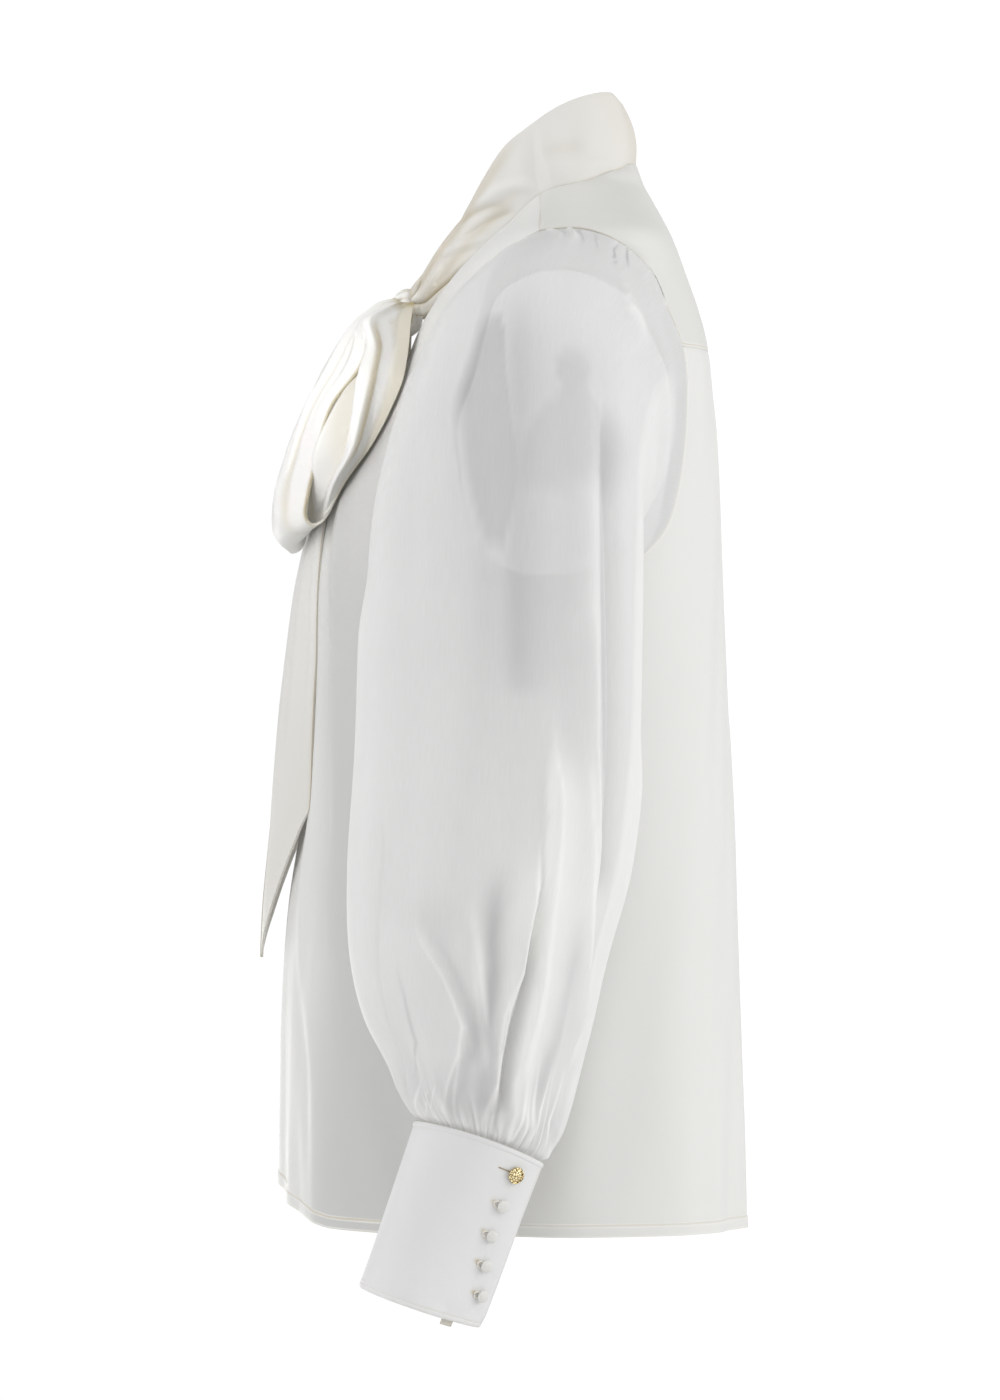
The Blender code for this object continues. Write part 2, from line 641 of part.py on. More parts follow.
def turned(name, profile, steps, cloth, seat, facing):
    """A button: a profile turned about its axis, set on its seat and facing outward."""
    mesh = bpy.data.meshes.new(name)
    edges = [(i, i + 1) for i in range(len(profile) - 1)]
    mesh.from_pydata([(x, 0.0, z) for x, z in profile], edges, [])
    made = bpy.data.objects.new(name, mesh)
    mesh.materials.append(material(cloth))
    BLOUSE.objects.link(made)
    spin = made.modifiers.new("turn", "SCREW")
    spin.steps = steps
    spin.render_steps = steps
    spin.use_merge_vertices = True
    spin.merge_threshold = 0.00005
    turn = facing.to_track_quat("Z", "Y").to_matrix().to_4x4()
    made.matrix_world = Matrix.Translation(seat) @ turn


def dome(radius, edge, height, rings):
    """Profile of a domed button from its crown to the middle of its back."""
    points = [(0.0, height)]
    for i in range(1, rings + 1):
        turn = math.pi / 2 * i / rings
        points.append((radius * math.sin(turn), edge + (height - edge) * math.cos(turn)))
    points.append((radius * DOME_BACK, 0.0))
    points.append((0.0, 0.0))
    return points


def wrapped(degrees):
    """How far the cuff's outer layer is off its oval at degrees past the start of its last turn."""
    return CUFF_STEP * (degrees + 360.0 - CUFF_START) / CUFF_TURN


def buttons(side):
    """One gold button over four cloth-covered ones down the cuff's edge."""
    for i, (degrees, drop) in enumerate(BUTTONS):
        out = wrapped(degrees) + CUFF_WALL + BUTTON_SEAT
        seat = cuff_point(side, degrees, drop, out)
        before = cuff_point(side, degrees - 3.0, drop, out)
        after = cuff_point(side, degrees + 3.0, drop, out)
        facing = (after - before).cross(cuff_frame(side)[3]).normalized() * -side
        if i == 0:
            name, profile, steps, cloth = "gold_button", dome(*GOLD_DOME), 16, "gold metal"
        else:
            name, profile, steps, cloth = f"covered_button_{i}", dome(*COVERED_DOME), 10, "silk"
        turned(side_name(name, side), profile, steps, cloth, seat, facing)


def tab(side):
    """The small tab inside the cuff that shows below its lower edge."""
    grid = []
    for drop in TAB_DROPS:
        line = []
        for c in range(TAB_COLUMNS + 1):
            degrees = TAB_DEGREES[0] + (TAB_DEGREES[1] - TAB_DEGREES[0]) * c / TAB_COLUMNS
            line.append(cuff_point(side, degrees, drop, wrapped(degrees) - TAB_GAP - TAB_WALL))
        grid.append(line)
    top = cuff_frame(side)[0]
    sheet(side_name("cuff_tab", side), grid, TAB_WALL, "silk", lambda point: top)


# ---------------------------------------------------------------- collar and bow

def collar():
    """The tie-neck band, standing round the neck and running down both sides to the knot."""
    base = [form_point(*neck_row(i)) for i in range(len(COLLAR_TOP) - len(COLLAR_END))]
    base += [Vector(p) for p in COLLAR_END]
    top = [Vector(p) for p in COLLAR_TOP]
    half = []
    for r in range(COLLAR_HALF_ROWS + 1):
        place = r / COLLAR_HALF_ROWS * (len(top) - 1)
        low, high = Vector(row_at(base, place)), Vector(row_at(top, place))
        up = (high - low).normalized()
        low = low + up * COLLAR_LIFT
        ahead, behind = min(place + 0.1, len(top) - 1), max(place - 0.1, 0.0)
        along = Vector(row_at(base, ahead)) - Vector(row_at(base, behind))
        out = up.cross(along).normalized()
        if out.dot(low - Vector((0.0, 0.0, low.z))) < 0:
            out = -out
        line = []
        for c in range(COLLAR_COLUMNS + 1):
            v = c / COLLAR_COLUMNS
            rounded = COLLAR_BOW * math.sin(math.pi * v) * (1 - 0.6 * place / (len(top) - 1))
            line.append(low.lerp(high, v) + out * (rounded - TIE / 2))
        half.append(line)
    mirrored = [[Vector((-p.x, p.y, p.z)) for p in line] for line in half[1:]]
    grid = mirrored[::-1] + half
    sheet("collar", grid, TIE, "silk", lambda p: Vector((0.0, -0.03, p.z - 0.02)))


def knot():
    """The knot: a rounded wrap of the tie, pinched where the bands pass under it."""
    bpy.ops.mesh.primitive_uv_sphere_add(segments=20, ring_count=12, radius=1.0)
    made = bpy.context.active_object
    made.name = made.data.name = "bow_knot"
    for vertex in made.data.vertices:
        x, y, z = vertex.co
        crease = 1 + KNOT_CREASE * math.cos(KNOT_CREASES * math.atan2(x, z)) * (1 - abs(y))
        vertex.co = (x * KNOT_HALF[0] * crease, y * KNOT_HALF[1], z * KNOT_HALF[2] * crease)
    made.data.transform(Matrix.Translation(KNOT))
    made.data.shade_smooth()
    made.data.materials.append(material("silk"))
    for held in made.users_collection:
        held.objects.unlink(made)
    BLOUSE.objects.link(made)


def loop(side):
    """One drooping loop: its front strip bows out, its back strip lies on the chest."""
    length, width = (1.0, 1.0) if side > 0 else RIGHT_LOOP
    grid = []
    for r in range(LOOP_ROWS + 1):
        place = r / LOOP_ROWS * (len(LOOP) - 1)
        in_x, in_z, in_off, out_x, out_z, out_off = row_at(LOOP, place)
        puff = LOOP_PUFF * blend(0.0, 3.0, place)
        puff *= 1 - 1.25 * blend(LOOP_TURN - 1, LOOP_TURN + 2, place)
        line = []
        for c in range(LOOP_COLUMNS + 1):
            w = c / LOOP_COLUMNS
            x = (in_x + (out_x - in_x) * w) * width
            z = KNOT.z + (in_z + (out_z - in_z) * w - KNOT.z) * length
            off = in_off + (out_off - in_off) * w + puff * math.sin(math.pi * w)
            line.append(Vector((side * x, chest(x, z) - off, z)))
        grid.append(line)

    def within(point):
        # the hollow between the two strips, further forward lower down
        return Vector((side * 0.05, -0.115 + 0.125 * max(point.z, -0.20), point.z))

    sheet(side_name("bow_loop", side), grid, TIE, "silk", within)


def tail(side):
    """One tail of the tie, down the front from under the knot to its slanted end."""
    grid = []
    for r in range(TAIL_ROWS + 1):
        in_x, in_z, out_x, out_z, in_off, out_off = row_at(TAIL, r / TAIL_ROWS * (len(TAIL) - 1))
        line = []
        for c in range(TAIL_COLUMNS + 1):
            w = c / TAIL_COLUMNS
            x, z = in_x + (out_x - in_x) * w, in_z + (out_z - in_z) * w
            off = in_off + (out_off - in_off) * w
            line.append(Vector((side * x, chest(x, z) - off, z)))
        grid.append(line)
    sheet(side_name("bow_tail", side), grid, TIE, "silk", body_axis)


for old in list(bpy.data.objects):
    bpy.data.objects.remove(old, do_unlink=True)
BLOUSE = bpy.data.collections.new("blouse")
bpy.context.scene.collection.children.link(BLOUSE)

yoke()
back()
collar()
knot()
for SIDE in (1, -1):
    front(SIDE)
    sleeve(SIDE)
    cuff(SIDE)
    buttons(SIDE)
    tab(SIDE)
    loop(SIDE)
    tail(SIDE)
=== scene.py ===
"""Looks of a tie-neck blouse: ivory silk satin body, tie and cuffs, sheer silk sleeves.

Metres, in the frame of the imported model: +X is the wearer's left, -Y the front, +Z up. Each cut
piece is a fine grid on the same torso form as its solid, with its folds, gathers and stitches.
"""

import math

import bpy
import numpy as np
from mathutils import Matrix, Vector


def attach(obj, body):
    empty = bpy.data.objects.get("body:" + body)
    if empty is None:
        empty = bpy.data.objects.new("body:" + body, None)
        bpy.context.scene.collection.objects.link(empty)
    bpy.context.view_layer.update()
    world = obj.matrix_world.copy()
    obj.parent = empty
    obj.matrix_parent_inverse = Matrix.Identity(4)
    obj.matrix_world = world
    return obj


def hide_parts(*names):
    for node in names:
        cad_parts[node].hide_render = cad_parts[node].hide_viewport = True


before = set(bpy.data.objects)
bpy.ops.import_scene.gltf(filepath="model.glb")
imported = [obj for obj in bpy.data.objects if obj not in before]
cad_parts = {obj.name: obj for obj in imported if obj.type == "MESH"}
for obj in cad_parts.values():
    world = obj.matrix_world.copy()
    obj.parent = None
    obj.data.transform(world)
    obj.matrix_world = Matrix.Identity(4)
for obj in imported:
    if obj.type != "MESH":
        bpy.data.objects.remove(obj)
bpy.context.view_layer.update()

# ---------------------------------------------------------------- sizes

MM = 1000.0             # tables that are divided by it are written in millimetres
SILK_WALL = 0.0009
TIE_WALL = 0.0014
CUFF_WALL = 0.0014
SEAM_DIP = 0.0011       # how far a piece drops to run on under the next at a seam
LAP_LIFT = 0.0014       # how much further out the front on top lies,
LAP_FADE = (0.0223, 0.045)      # and between which distances from the middle that fades

HEM_FRONT = -0.6222
HEM_BACK = -0.63
HEM_RISE = 0.027        # how far a front's corner is rounded up, and over what width
HEM_RISE_WIDTH = 0.157
HEM_DEPTH = 0.0065      # the turned hem, up to its stitches
LAP = 0.0125            # how far each front passes the middle
SIDE_SEAM = 90.0
UNDERARM = -0.241

# The cuff is an oval that leans back, wrapped round by a little more than a turn
CUFF_TOP = np.array((0.255, -0.0546, -0.565))
CUFF_LENGTH = 0.098
CUFF_TILT = math.radians(18.5)
CUFF_HALF = (0.0272, 0.0365)
CUFF_TAPER = 0.005
CUFF_CROWN = 0.005      # how much higher its upper edge is on the outer side
CUFF_START = 38.0
CUFF_TURN = 400.0
CUFF_STEP = 0.0019      # how far it stands out from start to end
CUFF_DEGREE = 0.00056   # how far round the cuff one degree goes
CUFF_SEAM = 0.0022      # the stitches along the cuff's edges, in from them
CUFF_LAST_SEAM = 74.0   # degrees of the stitches along its outer end
# Buttons: degrees round the cuff, and down it; the first is the metal one
BUTTONS = ((39.5, 0.012), (38.2, 0.0304), (38.6, 0.0477), (44.4, 0.0642), (53.1, 0.0807))
BUTTON_SEAT = 0.0003
TAB_DEGREES = (23.0, 35.5)
TAB_DROPS = (0.088, 0.095, 0.1018)
TAB_WALL = 0.0008
TAB_GAP = 0.0004

KNOT = np.array((0.0, -0.0988, -0.078))
KNOT_HALF = (0.013, 0.0095, 0.015)

# Torso form: height, half width, middle, front, back, front and back roundness exponents
FORM = np.array((
    (14, 30, 12, -4, 38, 2.2, 2.4), (3, 62, 8, -12, 42, 2.4, 2.4), (-4, 72, 6, -18, 44.7, 2.5, 2.5),
    (-13.3, 99.5, 5, -26.5, 49.5, 2.5, 2.7), (-27, 143, 5, -37.5, 55.5, 2.5, 2.9),
    (-41, 188, 4, -52.5, 61, 2.5, 3.1), (-60, 188.5, 2, -71, 68, 2.5, 3.3),
    (-85, 185.5, -1, -88, 77.2, 2.5, 3.4), (-107, 183, -4, -96.5, 82.2, 2.5, 3.4),
    (-131, 181, -9, -110, 84.5, 2.5, 3.3), (-161, 181, -16, -127.5, 87.4, 2.45, 3.2),
    (-194.5, 184, -24, -146, 89, 2.4, 3), (-235, 190, -30, -153, 90.5, 2.4, 2.8),
    (-300, 192, -31, -155.5, 93.5, 2.35, 2.6), (-386, 194, -32, -161, 97.8, 2.3, 2.5),
    (-437.5, 195.5, -34, -168, 99.6, 2.3, 2.45), (-490, 197, -35, -171.5, 101.3, 2.3, 2.4),
    (-560, 199.5, -36, -172.2, 103.5, 2.3, 2.4), (-640, 203, -36, -172.5, 105, 2.3, 2.4),
)) / (MM, MM, MM, MM, MM, 1, 1)

# Soft folds that hang in the body: degrees round, drift in degrees by the hem, half width in
# degrees, depth, height of the top
BODY_FOLDS = np.array((
    (4, 2, 6, 2, -240), (15, -2, 8, 3.4, -260), (31, 1, 8, 3, -300), (45, 3, 6.5, 2.2, -340),
    (60, -3, 9, 2.4, -380), (76, 3, 8, 2, -400), (99, 2, 9, 2.2, -330), (118, 4, 10, 2.4, -300),
    (137, -3, 9, 2.4, -380), (152, 3, 9, 2.4, -330), (171, -4, 8, 2, -420),
)) / (1, 1, 1, MM, MM)
# Pleat below the yoke: degrees round, half width in degrees, depth, how far down it goes, where it is full
PLEAT = (124.0, 5.0, 0.003, 0.075, 0.01)

# Seams and edges in the chart of the form: degrees round, height
YOKE_FRONT = np.array(((72, -12), (77, -19.5), (80.3, -30), (82.6, -41))) / (1, MM)
YOKE_EDGE = np.array((
    (82.6, -41), (90.3, -40.5), (97.6, -49), (104.5, -65), (108.9, -86.5), (113.6, -106.6),
)) / (1, MM)
YOKE_CORNER = 113.6
YOKE_BACK_SEAM = (-0.1066, -0.1035)
ARM_SHARE = 9 / 16      # the part of the yoke's outer edge that runs along the armhole
FRONT_ARMHOLE = np.array((
    (82.6, -41), (74, -57.5), (72, -85), (70.5, -115), (69.8, -140), (74, -172), (79, -206), (83, -230),
    (90, -241),
)) / (1, MM)
BACK_ARMHOLE = np.array((
    (113.6, -106.6), (116.8, -130), (118.2, -160), (118.4, -190), (116, -214), (109, -233.5), (99.5, -240),
    (90, -241),
)) / (1, MM)
# Neckline of one side, centre back to centre front: left, back, up
NECKLINE = np.array((
    (0, 39, 11), (30, 37, 9.5), (54, 26.5, 4), (68, 8, -4), (71.5, -7, -8.5), (70, -18, -12), (65.5, -29, -20),
    (58, -44, -34.5), (47.5, -60, -52), (36, -73, -66.5), (22.5, -83, -79.5), (7, -89, -89.5),
    (-12.5, -93, -98.5),
)) / MM
NECK_POINT = 5          # the place in NECKLINE where the yoke meets the front
COLLAR_TOP = np.array((
    (0, 30.5, 50), (29, 24, 52.8), (45, 11, 50), (54, -4, 44), (56.5, -18, 35.5), (56, -27, 29),
    (53.5, -40, 18), (48, -52, 0), (38.5, -64.5, -21.5), (26.5, -79, -40), (16.5, -89, -55.5),
    (10, -96.5, -64.5),
)) / MM
COLLAR_END = np.array(((21.5, -86.5, -78), (15, -93.5, -79))) / MM
COLLAR_LIFT = 0.0014
COLLAR_BOW = 0.0035

# Armhole as the sleeve meets it
ARMHOLE_CORNER = 72.0
ARMHOLE_OUT = 0.0018
UNDERARM_OUT = 0.003
# Sleeve rings below the armhole: outer x and z, inner x and z, front, back, front raised by
SLEEVE = np.array((
    (205, -46, 196, -246, -84, 59, 0), (230, -65, 199, -262, -98, 47, 0), (258, -102, 203, -285, -109, 40, 0),
    (281, -152, 206, -312, -116.5, 38.5, 0), (293, -225, 208, -345, -118, 37.5, 0),
    (300, -305, 209, -385, -120, 36, 0), (304, -385, 210, -430, -124.5, 29, 0),
    (304, -445, 212, -470, -124, 15, 2), (300, -490, 215, -505, -116.5, 5, 5),
    (293, -528, 220, -535, -102, -6, 9),
)) / MM

# Bow loop: inner edge x and z and how far it stands off the chest, then the same for the outer edge
LOOP = np.array((
    (8.5, -70.5, 27, 15, -76, 17.5), (13, -74.5, 36, 29, -78.5, 21), (19, -88, 42.5, 50, -88, 24),
    (24, -109, 48, 71, -105.5, 27.5), (26, -132, 46, 85, -130, 29), (27, -157, 40.5, 91, -152, 29),
    (27, -181, 33.5, 91.5, -173, 26), (27, -201.5, 28.5, 90, -190, 22), (27.5, -216.5, 23.5, 88.5, -202, 19),
    (28.5, -223.5, 16.5, 88, -208, 13), (30, -217, 11.5, 89, -204, 7.2), (30, -197, 12.5, 97, -189, 5.2),
    (28, -170, 18, 108, -166, 4.8), (25, -144, 22.5, 110, -144, 4.8), (21.5, -120, 21.5, 92, -121, 5.2),
    (19, -104, 19, 58, -104, 6.2), (16, -94.5, 16, 31, -92.5, 7.2), (14, -88, 12, 19, -85, 8.4),
)) / MM
# How the loop lies beyond its plain form: place in LOOP, how far the back strip's inner half and its
# outer edge swell forward, how far it stands out to the side, how far it rises, then how far the outer
# edge goes forward and out
LOOP_LIE = np.array((
    (0, 0, 0, 0, 0, 0, 0), (1, 0, 0, 0, 0, 6, -3), (1.7, 0, 0, 0, 0, 12.5, -6), (2.6, 0, 0, 0, 0, 5, -1),
    (3.4, 0, 0, 0, 0, 1.2, 0), (4.3, 0, 0, 0, 0, 6, 0), (5.1, 0, 0, 0, 0, 4, 0), (6, 0, 0, 0, 0, 0.4, 0),
    (6.8, 0, 0, 0, 0, -0.8, 0), (7.7, 0, 0, 0, 0, -0.8, 0), (8.6, 0, 0, 0, 0, 0, 0), (9.8, 0, 0, 0, 0, 0, 0),
    (10.6, 3, 1.5, 6, 0, 0, -4), (11.3, 10.5, 4, 14, 0, 0, -7), (12, 19.5, 6, 18, 0, 0, -5.5),
    (13, 21, 13, 16, 0, 0, -6), (14, 18, 19, 14, 0, 0, 1), (15, 8, 20, 16, 2, 0, 5),
    (16, 2, 24.5, 21, 8.5, 0, 8), (17, 0, 7.5, 12, 12, 0, 3),
)) / (1, MM, MM, MM, MM, MM, MM)
SWELL_MIDDLES = (0.54, 0.82)
EDGE_DROP = 0.0016      # how much closer to the chest the outer edges of loop and tail lie
LOOP_TURN = 9.0         # the place in LOOP where the front strip turns up into the back one
LOOP_PUFF = 0.007
RIGHT_LOOP = (0.95, 0.97)       # the right loop's length and width, as shares of the left one's
# Tail of the tie: inner x, z, outer x, z, and how far each lies off the form
TAIL = np.array((
    (1.2, -95, 7.5, -95, 6.6, 5.8), (1.2, -106, 17, -105, 5.6, 5), (2, -126, 32, -124, 4.8, 4.2),
    (3, -152, 47, -148, 4.6, 3.6), (3.5, -182, 59, -176, 4.8, 3.4), (4, -216, 67, -206, 8.5, 3.2),
    (4.5, -256, 71, -240, 13.5, 3), (4.5, -302, 72, -278, 18, 3), (5, -348, 72, -312, 20, 3.4),
    (5, -390, 72, -338, 20, 3.4), (4.5, -430, 72, -360, 18, 3), (3, -469, 72, -378, 16.5, 2.8),
)) / MM


# ---------------------------------------------------------------- shapes shared by the pieces

def ease(low, high, at):
    """0 before low, 1 after high, smooth between."""
    t = np.clip((np.asarray(at, float) - low) / (high - low), 0.0, 1.0)
    return t * t * (3 - 2 * t)


def bell(at, middle, wide):
    """1 at the middle, fading away on both sides of it."""
    return np.exp(-((at - middle) / wide) ** 2)


def length_of(vectors):
    return np.linalg.norm(vectors, axis=-1)


def unit(vectors):
    return vectors / np.linalg.norm(vectors, axis=-1, keepdims=True)


def reached(steps):
    """How far each place in a line is from its start."""
    return np.concatenate([[0.0], np.cumsum(steps)])


def closed(grid):
    """A ring's grid with its first column once more at the end."""
    return np.concatenate([grid, grid[:, :1]], 1)


def both_halves(half, other):
    """A grid from one side to the other, from the half up to the middle and the one beyond it."""
    return np.concatenate([half, other[:, -2::-1]], 1)


def full_turn(count):
    return np.linspace(0, 2 * math.pi, count + 1)[:-1]


def level_zero(across, along):
    return np.zeros(np.broadcast(across, along).shape)


def within_half(turn):
    """Degrees from -180 to 180."""
    return (turn + 180.0) % 360.0 - 180.0


def marks(*runs):
    """Places in runs of first, last and count. Where one run starts at the last's end, it is there once."""
    parts = [np.linspace(*run) for run in runs]
    for i, run in enumerate(runs[1:]):
        if run[0] == runs[i][1]:
            parts[i] = parts[i][:-1]
    return np.concatenate(parts)


def through(rows, at, keys=None):
    """Rows of a table on the smooth curve through them, at places counted from 0 or by its keys."""
    rows = np.asarray(rows, float)
    at = np.asarray(at, float)
    keys = np.arange(len(rows), dtype=float) if keys is None else np.asarray(keys, float)
    sign = 1.0 if keys[-1] > keys[0] else -1.0
    low = np.clip(np.searchsorted(sign * keys, sign * at, side="left") - 1, 0, len(keys) - 2)
    before = np.maximum(np.arange(len(keys)) - 1, 0)
    after = np.minimum(np.arange(len(keys)) + 1, len(keys) - 1)
    spread = (1,) * (rows.ndim - 1)
    slope = (rows[after] - rows[before]) / (keys[after] - keys[before]).reshape(-1, *spread)
    step = (keys[low + 1] - keys[low]).reshape(*at.shape, *spread)
    t = np.clip((at - keys[low]).reshape(*at.shape, *spread) / step, 0.0, 1.0)
    bend = t * t * (3 - 2 * t)
    value = rows[low] * (1 - bend) + rows[low + 1] * bend
    return value + step * (slope[low] * t * (1 - t) ** 2 - slope[low + 1] * t * t * (1 - t))


def form_at(height):
    """The form's half width, middle, front, back and both roundness exponents at a height."""
    return np.moveaxis(through(FORM[:, 1:], height, FORM[:, 0]), -1, 0)


def on_form(degrees, height, out=0.0):
    """Points of the torso form at degrees round from the centre front, moved out level."""
    degrees, height = np.broadcast_arrays(np.asarray(degrees, float), np.asarray(height, float))
    half, middle, front, back, front_round, back_round = form_at(height)
    across, ahead = np.sin(np.radians(degrees)), np.cos(np.radians(degrees))
    depth = np.where(ahead > 0, middle - front, back - middle)
    power = np.where(ahead > 0, front_round, back_round)
    reach = (np.abs(across / half) ** power + np.abs(ahead / depth) ** power) ** (-1 / power) + out
    return np.stack([reach * across, middle - reach * ahead, height + 0 * reach], -1)


def chest(x, height):
    """How far forward the form's front is at a place across it."""
    half, middle, front, _, power, _ = form_at(height)
    inside = np.maximum(0.0, 1 - np.minimum(1.0, np.abs(x) / half) ** power)
    return middle - (middle - front) * inside ** (1 / power)


def turn_of(x, y, height):
    """Degrees round from the centre front of a place at a height."""
    middle = form_at(height)[1]
    return np.degrees(np.arctan2(x, middle - y))


def draped(degrees, height):
    """How far the hanging body stands out of the form."""
    out = level_zero(degrees, height)
    for middle, drift, wide, depth, top in BODY_FOLDS:
        fall = ease(top, HEM_FRONT, height)
        near = np.maximum(0.0, 1 - np.abs(degrees - middle - drift * fall) / wide)
        out += depth * near * near * (3 - 2 * near) * fall
    return out


def mirrored(points, side):
    return points * np.array((side, 1.0, 1.0))


def called(name, side):
    return name + ("_left" if side > 0 else "_right")


def hem_height(degrees):
    return HEM_FRONT + (HEM_BACK - HEM_FRONT) * ease(SIDE_SEAM, 180.0, np.abs(degrees))


def chart_row(table, share):
    """Degrees and height along a seam table, at shares of its length."""
    rows = through(table, share * (len(table) - 1))
    return rows[..., 0], rows[..., 1]


def ripple(seed, across, along, count, long):
    """Gentle unevenness of hanging cloth: a sum of long waves with drifting phases, about -1 to 1."""
    rng = np.random.default_rng(seed)
    total = level_zero(across, along)
    for _ in range(count):
        wave = rng.uniform(0.6, 1.6)
        lean = rng.uniform(-1.0, 1.0)
        total += np.sin(across * wave + along * lean * long + rng.uniform(0, 2 * math.pi))
    return total / math.sqrt(count)


# ---------------------------------------------------------------- finishes

class Wire:
    """A socket's output that takes part in sums: every operator adds a Math node."""

    def __init__(self, finish, socket):
        self.finish, self.socket = finish, socket

    def _maths(self, operation, *terms):
        return self.finish.node("ShaderNodeMath", "Value", {"operation": operation}, dict(enumerate(terms)))

    def __add__(self, other):
        return self._maths("ADD", self, other)

    def __sub__(self, other):
        return self._maths("SUBTRACT", self, other)

    def __rsub__(self, other):
        return self._maths("SUBTRACT", other, self)

    def __mul__(self, other):
        return self._maths("MULTIPLY", self, other)

    __radd__, __rmul__ = __add__, __mul__

    def sine(self):
        return self._maths("SINE", self)


class Finish:
    """One material: its Principled shader, and nodes added by type, settings and sockets."""

    def __init__(self, name, **sockets):
        self.material = bpy.data.materials.new(name)
        self.material.use_nodes = True
        self.tree = self.material.node_tree
        self.shader = self.tree.nodes["Principled BSDF"]
        self.set(**sockets)

    @classmethod
    def of_world(cls, world):
        """The same for a world's background."""
        world.use_nodes = True
        sky = cls.__new__(cls)
        sky.tree = world.node_tree
        sky.shader = sky.tree.nodes["Background"]
        return sky

    def set(self, **sockets):
        """Sets or links the shader's sockets, named with underscores for spaces."""
        for name, value in sockets.items():
            self._feed(self.shader.inputs[name.replace("_", " ")], value)

    def node(self, kind, output, settings=None, sockets=None):
        """Adds a node: its settings first, then its sockets' values or links. Gives one output."""
        made = self.tree.nodes.new(kind)
        for name, value in (settings or {}).items():
            setattr(made, name, value)
        for name, value in (sockets or {}).items():
            self._feed(made.inputs[name], value)
        return Wire(self, made.outputs[output])

    def _feed(self, socket, value):
        if isinstance(value, Wire):
            self.tree.links.new(value.socket, socket)
        else:
            socket.default_value = value

    def weave(self):
        """The cloth's own coordinates, in metres, across and along its threads."""
        laid_out = self.node("ShaderNodeUVMap", "UV", {"uv_map": "weave"})
        across, along = (self.node("ShaderNodeSeparateXYZ", axis, {}, {"Vector": laid_out}) for axis in "XY")
        return laid_out, across, along

    def floats(self, laid_out, across, along, detail):
        """Fine uneven marks drawn out along the threads, so many to a metre each way."""
        stretched = self.node(
            "ShaderNodeVectorMath", "Vector", {"operation": "MULTIPLY"}, {0: laid_out, 1: (across, along, 1.0)}
        )
        return self.node(
            "ShaderNodeTexNoise", "Fac", {"noise_dimensions": "2D"},
            {"Vector": stretched, "Scale": 1.0, "Detail": detail},
        )

    def fold(self):
        """The fold tone on the cloth's points: painted shade, and on the sheer also its density and painted
        highlights.
        """
        return self.node("ShaderNodeAttribute", "Fac", {"attribute_name": "fold"})

    def noise(self, where, scale, detail=3.0, roughness=0.5):
        return self.node(
            "ShaderNodeTexNoise", "Fac", {"noise_dimensions": "3D"},
            {"Vector": where, "Scale": scale, "Detail": detail, "Roughness": roughness},
        )

    def place(self):
        return self.node("ShaderNodeTexCoord", "Object")

    def tint(self, mask, dark, light):
        """A colour between two, by a mask."""
        first = dark if isinstance(dark, Wire) else (*dark, 1.0)
        return self.node("ShaderNodeMix", 2, {"data_type": "RGBA"}, {0: mask, 6: first, 7: (*light, 1.0)})

    def let_through(self, share, colour):
        """Thin silk glows with the light behind it."""
        behind = self.node("ShaderNodeBsdfTranslucent", "BSDF", {}, {"Color": (*colour, 1.0)})
        mixed = self.node(
            "ShaderNodeMixShader", "Shader", {}, {0: share, 1: Wire(self, self.shader.outputs["BSDF"]), 2: behind}
        )
        self._feed(self.tree.nodes["Material Output"].inputs["Surface"], mixed)

    def bump(self, height, strength, distance, under=None):
        sockets = {"Height": height, "Strength": strength, "Distance": distance}
        if under is not None:
            sockets["Normal"] = under
        return self.node("ShaderNodeBump", "Normal", {}, sockets)


GLOW = (0.9, 0.885, 0.83)       # light that comes through silk
SHADED = (0.36, 0.36, 0.356)    # painted shade: the colour a negative fold tone leads to


def satin(name, dark, light, roughness, crumple, glow=0.3, crease_shade=None):
    """Silk satin: soft gloss, faint crumple, and the fine long floats of its weave.

    Where the fold tone is above 0 its colour goes to the crease_shade colour, and below 0 to the shaded one: both
    are painted shade.
    """
    finish = Finish(name, Sheen_Weight=0.1, Sheen_Roughness=0.45, Specular_IOR_Level=0.42)
    finish.let_through(glow, GLOW)
    where = finish.place()
    laid_out, across, along = finish.weave()
    soft = finish.noise(where, 26.0, 4.0, 0.55)
    cloud = finish.noise(where, 7.0, 2.0)
    floats = finish.floats(laid_out, 5200.0, 700.0, 1.0)
    threads = (across * 9000.0).sine() * (along * 9000.0).sine()
    colour = finish.tint(cloud * 0.7 + floats * 0.3, dark, light)
    if crease_shade:
        deep = finish.fold()
        colour = finish.tint(deep, finish.tint(deep * -1.0, colour, SHADED), crease_shade)
    finish.set(
        Base_Color=colour,
        Roughness=soft * 0.1 + floats * 0.08 + (roughness - 0.09),
        Normal=finish.bump(
            floats + threads * 0.25, 0.1, 0.00012,
            finish.bump(soft + cloud * 0.8, crumple, 0.003),
        ),
    )
    return finish


